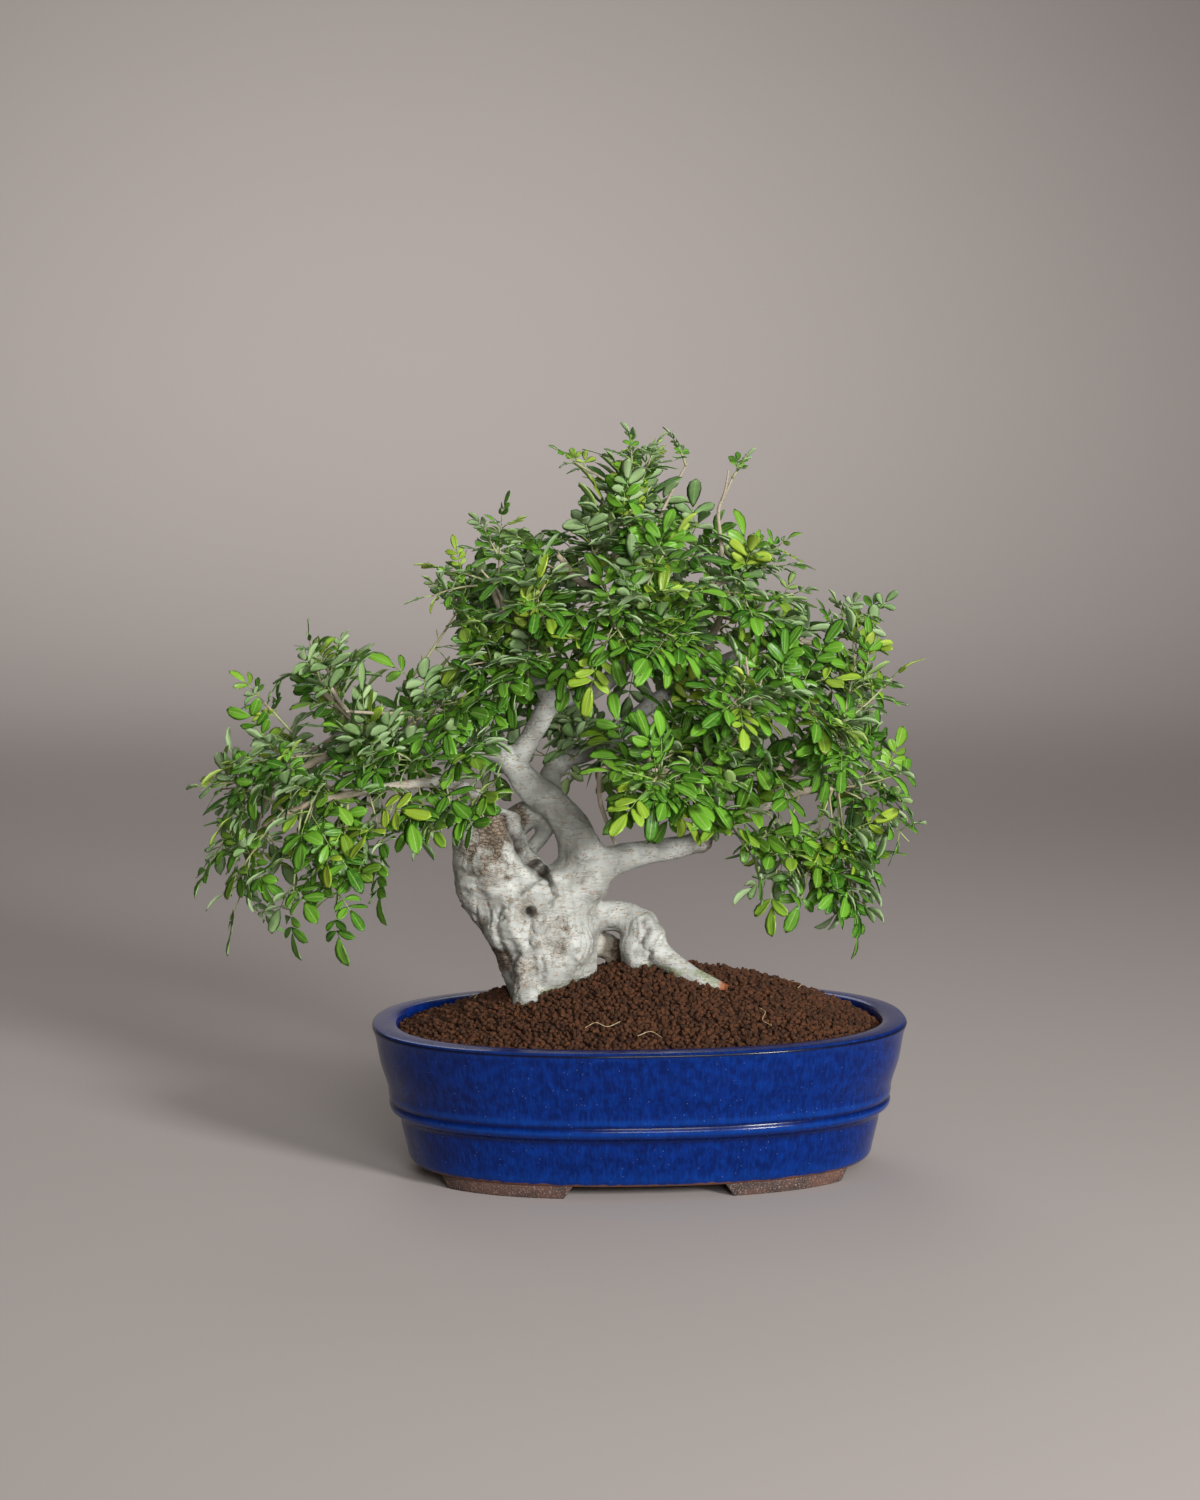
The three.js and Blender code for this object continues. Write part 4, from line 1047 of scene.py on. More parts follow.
def limb_guide():
    """Points along every limb, with the limb's radius there, and a search tree over them."""
    lines = np.vstack([smooth_line(stops, 8) for stops in all_limbs().values()])
    tree = KDTree(len(lines))
    for number, stop in enumerate(lines):
        tree.insert(stop[:3], number)
    tree.balance()
    return lines, tree


def rough_wood(voxel):
    """The limbs, roots and swellings as one skin. The stout ones are flatter than round, front to back."""
    tubes = []
    for name, stops in all_limbs().items():
        tube = add_tube(stops, 5, 5)
        if name in STOUT_LIMBS:
            places = from_frame(vertex_places(tube))
            places[:, 1] = WOOD_MIDDLE + (places[:, 1] - WOOD_MIDDLE) * STOUT_FLATNESS
            set_vertex_places(tube, to_frame(places))
        tubes.append(tube)
    for x, y, z, radius in SWELLINGS:
        clear_selection()
        at = ORIGIN + Vector((x, y, z)) * MM
        bpy.ops.mesh.primitive_ico_sphere_add(subdivisions=3, radius=radius * MM, location=at)
        bpy.ops.object.transform_apply(location=True, rotation=True, scale=True)
        tubes.append(bpy.context.active_object)
    wood = join(tubes)
    apply_modifier(wood, "REMESH", mode="VOXEL", voxel_size=voxel * MM, adaptivity=0.0)
    return wood


def nearest_radii(places):
    """The radius of the limb nearest to each place."""
    lines, tree = limb_guide()
    return np.array([lines[tree.find(place)[1], 3] for place in places])


def smooth_joins(wood, radii):
    """Softens where limbs meet, the more the thicker the wood is."""
    group = wood.vertex_groups.new(name="thick")
    weights = np.round(np.interp(radii, [2, 5, 12, 25], [0.15, 0.4, 0.8, 1]), 2)
    for weight in np.unique(weights):
        group.add(np.flatnonzero(weights == weight).tolist(), float(weight), "REPLACE")
    apply_modifier(wood, "SMOOTH", factor=0.6, iterations=22, vertex_group="thick")
    wood.vertex_groups.clear()


def distance_to_line(x, z, line):
    """How far each point is from a line of points, as seen from the front."""
    nearest = np.full(len(x), 1e9)
    for (x0, z0), (x1, z1) in zip(line, line[1:]):
        along = np.array([x1 - x0, z1 - z0])
        share = np.clip(((x - x0) * along[0] + (z - z0) * along[1]) / (along @ along), 0, 1)
        nearest = np.minimum(nearest, np.hypot(x - x0 - share * along[0], z - z0 - share * along[1]))
    return nearest


def carve_wood(wood, radii):
    """Dents, creases, wrinkles and flakes, and the values that the bark's material reads."""
    places = from_frame(vertex_places(wood))
    normals = vertex_normals(wood)
    x, z = places[:, 0], places[:, 2]
    old = soft_step(radii, 6, 18)
    front = soft_step(-normals[:, 1], 0.05, 0.5)
    broad = noise_at(places, 24, 1)
    middle = noise_at(places, 9, 2)
    fine = noise_at(places, 3.6, 3)
    rough_and_shaded = np.zeros(len(places))
    # The first patch is painted shade on the root behind the arch; the rest are rough brown bark.
    for px, py, pz, radius, strength in ROUGH_AND_SHADED_PATCHES:
        distance = np.linalg.norm(places - np.array([px, py, pz]), axis=1)
        rough_and_shaded = np.maximum(rough_and_shaded, strength * soft_step(distance, radius, radius * 0.35))
    rough_and_shaded = np.clip(rough_and_shaded + 0.35 * old * soft_step(middle, 0.15, 0.6), 0, 1)
    push = broad * (0.4 + 2.4 * old) + middle * (0.2 + 1.0 * old) + fine * (0.15 + 0.3 * old + 0.7 * rough_and_shaded)
    # Painted shade in the creases, hollows, furrows and wrinkle lines, which the bark's material darkens
    # nearly to black.
    painted_crease_shade = np.zeros(len(places))
    into = np.zeros(len(places))
    near = front * (places[:, 1] < FRONT_PLANE)
    for width, depth, line in CREASES:
        wobble = distance_to_line(x + 2 * fine, z + 2 * middle, line)
        push -= depth * (hump(wobble, 0, width) * near)
        push += 0.5 * depth * hump(wobble, 2.4 * width, width) * near
        painted_crease_shade = np.maximum(painted_crease_shade, min(0.75, 0.4 * depth) * hump(wobble, 0, 0.6 * width) * near)
    for width, height, line in RIDGES:
        wobble = distance_to_line(x + 2 * fine, z + 2 * middle, line)
        push += height * hump(wobble, 0, width) * near
    for hx, hz, radius, depth in HOLLOWS:
        distance = np.hypot(x - hx, z - hz) + 0.8 * fine
        pit = np.exp(-((distance / radius) ** 4)) * near
        into += depth * pit
        # Each hollow is filled with painted shade.
        painted_crease_shade = np.maximum(painted_crease_shade, 0.95 * np.exp(-((distance / (0.85 * radius)) ** 4)) * near)
    # Furrows run up the lower trunk.
    upright = places * np.array([1, 1, 0.22])
    furrow = np.abs(noise_at(upright, 8, 4))
    lower = old * soft_step(z, 225, 190)
    push -= 2.2 * lower * soft_step(furrow, 0.16, 0)
    painted_crease_shade = np.maximum(painted_crease_shade, 0.45 * lower * soft_step(furrow, 0.05, 0))
    # Wrinkles run round the old wood where its bark is rough.
    wrinkled = rough_and_shaded * old
    push -= 0.55 * wrinkled * np.abs(np.sin(z * 1.25 + 3 * middle)) ** 3
    wrinkle_line = np.abs(np.sin(z * 0.62 + 2.2 * middle + broad))
    painted_crease_shade = np.maximum(painted_crease_shade, 0.5 * wrinkled * soft_step(wrinkle_line, 0.93, 1))
    moved = places + normals * push[:, None]
    moved[:, 1] += into
    set_vertex_places(wood, to_frame(moved))
    above = z - soil_height(x, places[:, 1])
    set_vertex_value(wood, "rough_and_shaded", rough_and_shaded)
    set_vertex_value(wood, "painted_crease_shade", np.clip(painted_crease_shade, 0, 1))
    moss = 0.7 * soft_step(above, 7, -1) * soft_step(-broad, -0.4, 0.3) * soft_step(rough_and_shaded, 0.9, 0.5)
    set_vertex_value(wood, "moss", moss)
    torn = np.linalg.norm(places - np.array(TORN_END), axis=1)
    set_vertex_value(wood, "torn", soft_step(torn + 2 * fine, 12, 7))
    set_vertex_value(wood, "young", 0.85 * soft_step(radii, 6, 2.2))


# Leaves

def inside_loop(x, z, loop):
    """Whether a point lies within a closed loop of points."""
    inside = False
    for (x0, z0), (x1, z1) in zip(loop, [*loop[1:], loop[0]]):
        if (z0 > z) != (z1 > z) and x < x0 + (z - z0) / (z1 - z0) * (x1 - x0):
            inside = not inside
    return inside


def in_crown(place):
    """Whether a place lies within the crown as the front shows it, and doesn't hide the bare limbs."""
    share = -EYE[1] / (place[1] - EYE[1])
    x = EYE[0] + (place[0] - EYE[0]) * share
    z = EYE[2] + (place[2] - EYE[2]) * share
    if place[1] < 10 and inside_loop(x, z, CROWN_WINDOW):
        return False
    return inside_loop(x, z, CROWN_OUTLINE)


def leaflet_pattern():
    """A leaflet's vertices as across, along and underside, and its faces with their side of the leaf.

    Both skins share the leaf's edge, so the leaflet is a closed body."""
    clear_selection()
    bpy.ops.mesh.primitive_grid_add(x_subdivisions=4, y_subdivisions=5, size=2)
    pattern = bpy.context.active_object
    bpy.ops.object.mode_set(mode="EDIT")
    bpy.ops.mesh.select_all(action="SELECT")
    bpy.ops.mesh.duplicate()
    bpy.ops.mesh.flip_normals()
    mesh = bmesh.from_edit_mesh(pattern.data)
    for vertex in mesh.verts:
        inner = abs(vertex.co.x) < 0.99 and abs(vertex.co.y) < 0.99
        if vertex.select and inner:
            vertex.co.z = -1
    bmesh.update_edit_mesh(pattern.data)
    bpy.ops.mesh.select_all(action="SELECT")
    bpy.ops.mesh.remove_doubles(threshold=1e-4)
    bpy.ops.object.mode_set(mode="OBJECT")
    places = vertex_places(pattern)
    faces = np.array([list(face.vertices) for face in pattern.data.polygons])
    under = np.array([face.normal.z < 0 for face in pattern.data.polygons])
    across = places[:, 0]
    # The rows stand closer together towards the tip, where the outline turns.
    along = np.interp(places[:, 1], np.linspace(-1, 1, 6), [0, 0.16, 0.4, 0.66, 0.88, 1])
    below = (places[:, 2] < -0.5).astype(float)
    bpy.data.objects.remove(pattern)
    return across, along, below, faces, under


class Foliage:
    """The stalks and leaflets of one spray, gathered before they become a mesh."""

    def __init__(self, seed):
        self.chance = random.Random(seed)
        self.tubes = []
        self.leaflets = []
        self.trimmed = True

    def allowed(self, place):
        """Whether a leaf may be at a place: in the box, and in the crown unless the spray is untrimmed."""
        return in_box(place) and (not self.trimmed or in_crown(place))

    def spread(self, amount):
        """A small random vector."""
        return np.array([self.chance.uniform(-amount, amount) for _ in range(3)])

    def add_leaflet(self, base, direction, facing, length, yellow):
        """One leaflet, with its own droop, fold, width and tone, where leaves are allowed."""
        droop = self.chance.uniform(0.02, 0.3)
        fold = self.chance.uniform(0.1, 0.5)
        width = length * self.chance.uniform(0.43, 0.56)
        tone = self.chance.random()
        if not (self.allowed(base + 0.6 * length * direction) and in_box(base + length * direction)):
            return
        self.leaflets.append((base, direction, facing, length, width, fold, droop, tone, yellow))

    def add_leaf(self, base, direction, size, outward):
        """A compound leaf: pairs of leaflets along a green rachis and one at its tip."""
        direction = unit(direction)
        facing = unit(np.array([0, 0, 0.85]) + 0.55 * outward + self.spread(0.42))
        facing = unit(facing - direction * (facing @ direction))
        side = np.cross(direction, facing)
        pairs = self.chance.choice([1, 1, 1, 2, 2, 3])
        reach = size * (0.32 + 0.36 * pairs)
        if not self.allowed(base + direction * (reach + 0.3 * size)):
            return
        end = base + direction * reach - facing * 0.12 * reach
        middle = base + direction * reach * 0.5
        self.tubes.append((np.array([base, middle, end]), [0.5, 0.42, 0.3], 3, 2))
        yellow = self.chance.random() ** 9
        if self.chance.random() < 0.015:
            yellow = self.chance.uniform(0.4, 0.85)
        self.add_leaflet(end, unit(end - middle), facing, size, yellow)
        for number in range(pairs):
            share = 1 - (number + 0.55) / (pairs + 0.25) * 0.8
            at = base + (middle - base) * min(1, 2 * share)
            if share > 0.5:
                at = middle + (end - middle) * (2 * share - 1)
            lean = math.radians(self.chance.uniform(48, 68))
            for hand in (-1, 1):
                way = direction * math.cos(lean) + side * hand * math.sin(lean) + self.spread(0.12)
                tilt = unit(facing + side * hand * self.chance.uniform(-0.25, 0.35) + self.spread(0.2))
                way = unit(way)
                tilt = unit(tilt - way * (tilt @ way))
                length = size * self.chance.uniform(0.6, 0.95) * (1 - 0.12 * number)
                self.add_leaflet(at, way, tilt, length, yellow)

    def add_shoot(self, start, end, girth, leaf_size, outward, spacing, first=0.2):
        """A twig from start to end with crossed pairs of leaves, and one leaf at its tip."""
        while not self.allowed(end) and np.linalg.norm(end - start) > 8:
            end = start + 0.8 * (end - start)
        length = np.linalg.norm(end - start)
        axis = unit(end - start)
        bow = np.array([0, 0, 1]) * length * self.chance.uniform(-0.06, 0.12)
        points = [start + (end - start) * t + bow * math.sin(math.pi * t) for t in np.linspace(0, 1, 5)]
        self.tubes.append((np.array(points), np.linspace(girth, girth * 0.5, 5), 5, 3))
        side = unit(np.cross(axis, np.array([0.1, 0.2, 1.0])))
        other = np.cross(axis, side)
        turn = self.chance.uniform(0, math.pi)
        count = max(1, round(length * (1 - first) / spacing))
        for number in range(count):
            share = first + (1 - first) * (number + self.chance.uniform(0.2, 0.5)) / count
            at = start + (end - start) * share + bow * math.sin(math.pi * share)
            turn += math.pi / 2 + self.chance.uniform(-0.3, 0.3)
            for hand in (0, math.pi):
                out = side * math.cos(turn + hand) + other * math.sin(turn + hand)
                lean = math.radians(self.chance.uniform(42, 66))
                way = axis * math.cos(lean) + out * math.sin(lean) + np.array([0, 0, 0.12])
                self.add_leaf(at, way, leaf_size * self.chance.uniform(0.75, 1.05), outward)
        self.add_leaf(end, axis + self.spread(0.15), leaf_size, outward)

    def add_spray(self, seat, tip, leaf_size, outward):
        """A season's growth: a main twig with side twigs set around it."""
        axis = unit(tip - seat)
        reach = max(20.0, np.linalg.norm(tip - seat) - 1.25 * leaf_size)
        end = seat + axis * reach
        self.add_shoot(seat, end, 1.3, leaf_size, outward, 13, 0.3)
        side = unit(np.cross(axis, np.array([0.1, 0.2, 1.0])))
        other = np.cross(axis, side)
        side_twigs = bpy.context.scene.bonsai_leaves.side_twigs
        for number in range(side_twigs):
            share = 0.3 + 0.6 * number / side_twigs
            turn = number * 2.4 + self.chance.uniform(-0.4, 0.4)
            out = side * math.cos(turn) + other * math.sin(turn)
            way = unit(axis * 0.7 + out + np.array([0, 0, 0.12]))
            start = seat + axis * reach * share
            twig = self.chance.uniform(12, 22)
            self.add_shoot(start, start + way * twig, 0.8, leaf_size * 0.92, outward, 14, 0.45)

    def build(self, name, pattern, materials):
        """Turns what was gathered into one mesh object."""
        across, along, below, faces, under = pattern
        vertices = []
        all_faces = []
        indices = []
        tone = []
        yellow = []
        charts = []
        offset = 0
        outline = np.interp(along, [0, 0.16, 0.4, 0.66, 0.88, 1], [0.06, 0.46, 0.87, 1, 0.72, 0.07])
        for base, direction, facing, length, width, fold, droop, leaf_tone, leaf_yellow in self.leaflets:
            side = np.cross(direction, facing)
            half = 0.5 * width * outline * (1 + 0.05 * np.sin(23 * along + 9 * leaf_tone))
            rise = fold * np.abs(across) * half - droop * length * along**2
            rise += 0.04 * length * np.sin(5 * along + 6 * leaf_tone) * across**2
            rise -= 0.3 * below
            placed = base + np.outer(across * half, side) + np.outer(along * length, direction)
            placed = placed + np.outer(rise, facing)
            vertices.append(placed)
            all_faces.extend((faces + offset).tolist())
            indices.extend(np.where(under, 1, 0).tolist())
            tone.append(np.full(len(placed), leaf_tone))
            yellow.append(np.full(len(placed), leaf_yellow))
            charts.append(np.column_stack([0.5 + 0.5 * across, along]))
            offset += len(placed)
        for points, radii, sides, index in self.tubes:
            placed, tube_faces = tube_skin(points, radii, sides)
            vertices.append(placed)
            all_faces.extend([[corner + offset for corner in face] for face in tube_faces])
            indices.extend([index] * len(tube_faces))
            tone.append(np.full(len(placed), 0.5))
            yellow.append(np.zeros(len(placed)))
            charts.append(np.zeros((len(placed), 2)))
            offset += len(placed)
        mesh = bpy.data.meshes.new(name)
        mesh.from_pydata(to_frame(keep_in_box(np.vstack(vertices))).tolist(), [], all_faces)
        piece = place_piece(name, mesh)
        give_materials(piece, *materials)
        mesh.polygons.foreach_set("material_index", indices)
        mesh.polygons.foreach_set("use_smooth", [True] * len(all_faces))
        set_vertex_value(piece, "tone", np.concatenate(tone))
        set_vertex_value(piece, "yellow", np.concatenate(yellow))
        corners = np.zeros(len(mesh.loops), int)
        mesh.loops.foreach_get("vertex_index", corners)
        mesh.uv_layers.new(name="leaf").data.foreach_set("uv", np.vstack(charts)[corners].ravel())
        return piece


def keep_in_box(points):
    """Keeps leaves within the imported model's box, apart from the little that soft parts may stand proud."""
    proud = 7 * MM
    low = from_frame(np.array(CAD_BOX[0]) - proud)
    high = from_frame(np.array(CAD_BOX[1]) + proud)
    return np.clip(points, low, high)


def in_box(place):
    """Whether a place lies in the box that leaves are kept in."""
    return bool(np.all(keep_in_box(place) == place))


def tube_skin(points, radii, sides):
    """Vertices and faces of a closed tube along points."""
    along = unit(np.gradient(points, axis=0))
    helper = np.array([0, 0, 1.0]) if abs(along[0][2]) < 0.8 else np.array([0, 1.0, 0])
    vertices = []
    for point, way, radius in zip(points, along, radii):
        side = unit(np.cross(way, helper))
        other = np.cross(side, way)
        for corner in range(sides):
            angle = 2 * math.pi * corner / sides
            vertices.append(point + radius * (side * math.cos(angle) + other * math.sin(angle)))
    faces = [list(range(sides)), [len(vertices) - 1 - corner for corner in range(sides)]]
    for ring in range(len(points) - 1):
        for corner in range(sides):
            following = (corner + 1) % sides
            low = ring * sides
            high = low + sides
            faces.append([low + following, low + corner, high + corner, high + following])
    return np.array(vertices), faces


def spray_ends(node, lines, tree):
    """Where a spray's node sits on its limb, and the tip farthest from there."""
    places = from_frame(vertex_places(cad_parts[node]))
    reach = []
    for place in places:
        _, number, distance = tree.find(place)
        reach.append((distance - lines[number, 3], number))
    _, number = min(reach)
    seat = lines[number, :3]
    tip = places[np.linalg.norm(places - seat, axis=1).argmax()]
    return seat, tip


def crown_outward(place):
    """The way that leaves turn to the light: away from the middle of the crown."""
    return unit((np.asarray(place) - np.array(CROWN_MIDDLE)) * np.array([0.8, 1.0, 0.9]))


def nearest_foliage(sprays, place):
    """The spray whose middle is nearest to a place."""
    middles = np.array([middle for _, middle in sprays])
    return sprays[int(np.linalg.norm(middles - place, axis=1).argmin())][0]


# Settings, with the sizes in millimetres and the colours that a user would change

class BonsaiPotSettings(bpy.types.PropertyGroup):
    length: bpy.props.FloatProperty(name="Length", description="Pot length in mm", default=410, min=100)
    depth: bpy.props.FloatProperty(name="Depth", description="Pot depth in mm", default=284, min=80)
    ovalness: bpy.props.FloatProperty(
        name="Ovalness", description="2 is an ellipse, more is squarer",
        default=2.36, min=2,
    )
    sides: bpy.props.IntProperty(name="Sides", description="Edges round the pot", default=208, min=48)
    glaze: bpy.props.FloatVectorProperty(
        name="Glaze", description="Main colour of the glaze",
        subtype="COLOR", default=linear("#011852"), min=0, max=1,
    )


class BonsaiSoilSettings(bpy.types.PropertyGroup):
    grain: bpy.props.FloatProperty(name="Grain", description="Grain size in mm", default=4.4, min=2)
    spacing: bpy.props.FloatProperty(
        name="Spacing", description="Distance between grains in mm",
        default=4.1, min=2,
    )
    colour: bpy.props.FloatVectorProperty(
        name="Colour", description="Lighter colour of the grains",
        subtype="COLOR", default=linear("#4a2b17"), min=0, max=1,
    )


class BonsaiWoodSettings(bpy.types.PropertyGroup):
    voxel: bpy.props.FloatProperty(
        name="Voxel", description="Finest detail of the wood in mm",
        default=1.6, min=0.8,
    )
    colour: bpy.props.FloatVectorProperty(
        name="Bark", description="Main colour of the bark",
        subtype="COLOR", default=linear("#898a84"), min=0, max=1,
    )


class BonsaiLeafSettings(bpy.types.PropertyGroup):
    size: bpy.props.FloatProperty(
        name="Leaflet", description="Length of a leaflet in mm",
        default=24, min=5,
    )
    side_twigs: bpy.props.IntProperty(
        name="Side twigs", description="Side twigs on each spray",
        default=4, min=0,
    )
    spur_spacing: bpy.props.FloatProperty(
        name="Spurs", description="Distance between leafy spurs in mm",
        default=48, min=8,
    )
    dark: bpy.props.FloatVectorProperty(
        name="Dark green", description="Colour of the darkest leaves",
        subtype="COLOR", default=linear("#225a10"), min=0, max=1,
    )
    light: bpy.props.FloatVectorProperty(
        name="Light green", description="Colour of the lightest leaves",
        subtype="COLOR", default=linear("#6aa42c"), min=0, max=1,
    )


class BonsaiStageSettings(bpy.types.PropertyGroup):
    paper: bpy.props.FloatVectorProperty(
        name="Paper", description="Colour of floor and backdrop",
        subtype="COLOR", default=linear("#ada5a1"), min=0, max=1,
    )
    key: bpy.props.FloatProperty(
        name="Key light", description="Power of the main light",
        default=25, min=0, unit="POWER",
    )
    fill: bpy.props.FloatProperty(
        name="Fill light", description="Power of the fill light",
        default=11, min=0, unit="POWER",
    )
    backdrop: bpy.props.FloatProperty(
        name="Backdrop light", description="Power of the light on the backdrop",
        default=30, min=0, unit="POWER",
    )


# Operators

class BONSAI_OT_pot(bpy.types.Operator):
    """Models the glazed oval pot with its belt, lip, feet and drain holes"""

    bl_idname = "bonsai.pot"
    bl_label = "Pot"

    def execute(self, context):
        bowl = make_bowl()
        feet = make_feet()
        feet_faces = len(feet.data.polygons)
        pot = join([bowl, feet])
        bowl_faces = len(pot.data.polygons) - feet_faces
        give_materials(pot, glaze_material(tuple(context.scene.bonsai_pot.glaze)), clay_material())
        paint_glaze(pot)
        for number, face in enumerate(pot.data.polygons):
            if number >= bowl_faces:
                face.material_index = 1
        shade_smooth(pot, 32)
        settle(pot, "glazed_pot", ["pot"])
        return {"FINISHED"}


class BONSAI_OT_wood(bpy.types.Operator):
    """Models trunk, roots, limbs and twigs as one piece of wood"""

    bl_idname = "bonsai.wood"
    bl_label = "Wood"

    def execute(self, context):
        settings = context.scene.bonsai_wood
        wood = rough_wood(settings.voxel)
        radii = nearest_radii(from_frame(vertex_places(wood)))
        smooth_joins(wood, radii)
        carve_wood(wood, radii)
        twigs = [add_tube(stops, 4, 2) for stops in BARE_TWIGS]
        for twig in twigs:
            set_vertex_value(twig, "young", np.full(len(twig.data.vertices), 0.7))
        wood = join([wood, *twigs])
        give_materials(wood, bark_material(tuple(settings.colour)))
        recalculate_normals(wood)
        shade_smooth(wood)
        settle(wood, "ash_wood", ["tree_wood"])
        return {"FINISHED"}


class BONSAI_OT_soil(bpy.types.Operator):
    """Lays loose grains and dead rootlets on the soil, clear of the wood"""

    bl_idname = "bonsai.soil"
    bl_label = "Soil"

    def execute(self, context):
        settings = context.scene.bonsai_soil
        wood = bpy.data.objects["ash_wood"]
        wood_tree = BVHTree.FromPolygons(
            [vertex.co for vertex in wood.data.vertices],
            [list(face.vertices) for face in wood.data.polygons],
        )
        chance = random.Random(11)
        shape, faces = self.grain_shape()
        vertices = []
        all_faces = []
        tones = []
        for x, y, z, size in self.grain_places(context, chance, wood_tree):
            angle = chance.uniform(0, 6.28)
            axis = Vector((chance.random(), chance.random(), 1))
            turn = np.array(Matrix.Rotation(angle, 3, axis))
            stretch = np.array([chance.uniform(low, high) for low, high in GRAIN_STRETCH])
            jitter = np.array([[chance.uniform(-0.1, 0.1) for _ in range(3)] for _ in shape])
            body = ((shape + jitter) * stretch * size) @ turn.T + np.array([x, y, z])
            all_faces.extend((faces + len(vertices) * len(shape)).tolist())
            vertices.append(body)
            tones.append(np.full(len(shape), chance.random()))
        mesh = bpy.data.meshes.new("soil_grains")
        mesh.from_pydata(to_frame(np.vstack(vertices)).tolist(), [], all_faces)
        grains = place_piece("soil_grains", mesh)
        set_vertex_value(grains, "tone", np.concatenate(tones))
        give_materials(grains, fired_soil_material(tuple(settings.colour)))
        recalculate_normals(grains)
        settle(grains, "soil_grains")
        self.lay_rootlets()
        self.make_bed()
        return {"FINISHED"}

    def grain_shape(self):
        """The vertices and faces of a round grain, 1 across."""
        clear_selection()
        bpy.ops.mesh.primitive_ico_sphere_add(subdivisions=1, radius=0.5)
        grain = bpy.context.active_object
        shape = vertex_places(grain)
        faces = np.array([list(face.vertices) for face in grain.data.polygons])
        bpy.data.objects.remove(grain)
        return shape, faces

    def grain_places(self, context, chance, wood_tree):
        """Where each grain lies and its size: in staggered rows, some a layer higher, none in the wood."""
        settings = context.scene.bonsai_soil
        pot = context.scene.bonsai_pot
        half_length = pot.length / 2 - GRAIN_INSET
        half_depth = pot.depth / 2 - GRAIN_INSET
        rows = np.arange(-GRAIN_ROWS_END, GRAIN_ROWS_END, settings.spacing * ROW_SPACING)
        columns = np.arange(-SOIL_HALF_LENGTH, SOIL_HALF_LENGTH, settings.spacing)
        for row, row_y in enumerate(rows):
            shift = (row % 2) * settings.spacing / 2
            for column, layer in itertools.product(columns, range(2)):
                if layer and chance.random() > UPPER_GRAIN_SHARE:
                    continue
                x = column + shift + chance.uniform(-GRAIN_JITTER, GRAIN_JITTER)
                y = row_y + chance.uniform(-GRAIN_JITTER, GRAIN_JITTER)
                if abs(x / half_length) ** pot.ovalness + abs(y / half_depth) ** pot.ovalness > 1:
                    continue
                size = settings.grain * chance.uniform(0.72, 1.3)
                ground = float(surface_height(x, y))
                z = ground - 0.5 * size + layer * 0.45 * settings.grain + chance.uniform(-0.5, 0.8)
                centre = Vector(to_frame((x, y, z)))
                near, normal, _, distance = wood_tree.find_nearest(centre)
                inside = normal is not None and (centre - near).dot(normal) < 0
                if not inside and distance >= 0.35 * size * MM:
                    yield x, y, z, size

    def make_bed(self):
        """The packed soil that the loose grains lie on, a grain's height under their tops."""
        bed = place_piece("soil_bed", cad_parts["soil"].data.copy())
        select_only(bed)
        bpy.ops.object.mode_set(mode="EDIT")
        bpy.ops.mesh.select_all(action="SELECT")
        bpy.ops.mesh.remove_doubles(threshold=1e-6)
        bpy.ops.object.mode_set(mode="OBJECT")
        places = from_frame(vertex_places(bed))
        top = places[:, 2] > SOIL_EDGE_HEIGHT - 1
        level = surface_height(places[:, 0], places[:, 1]) - BED_DEPTH
        places[:, 2] = np.where(top, np.minimum(places[:, 2], level), places[:, 2])
        set_vertex_places(bed, to_frame(places))
        give_materials(bed, soil_bed_material())
        settle(bed, "soil_bed", ["soil"])

    def lay_rootlets(self):
        """Dead rootlets that lie on the grains, with every second stop a little higher."""
        tubes = []
        for radius, line in ROOTLETS:
            stops = []
            for number, (x, y) in enumerate(line):
                z = float(surface_height(x, y)) + ROOTLET_LIFT + (number % 2) * 1.6
                stops.append((x, y, z, radius))
            tubes.append(add_tube(stops, 6, 1))
        rootlets = join(tubes)
        give_materials(rootlets, stalk_material("dry_rootlet", "#c9b48c", "#8d7450", 3))
        shade_smooth(rootlets)
        settle(rootlets, "dry_rootlets")


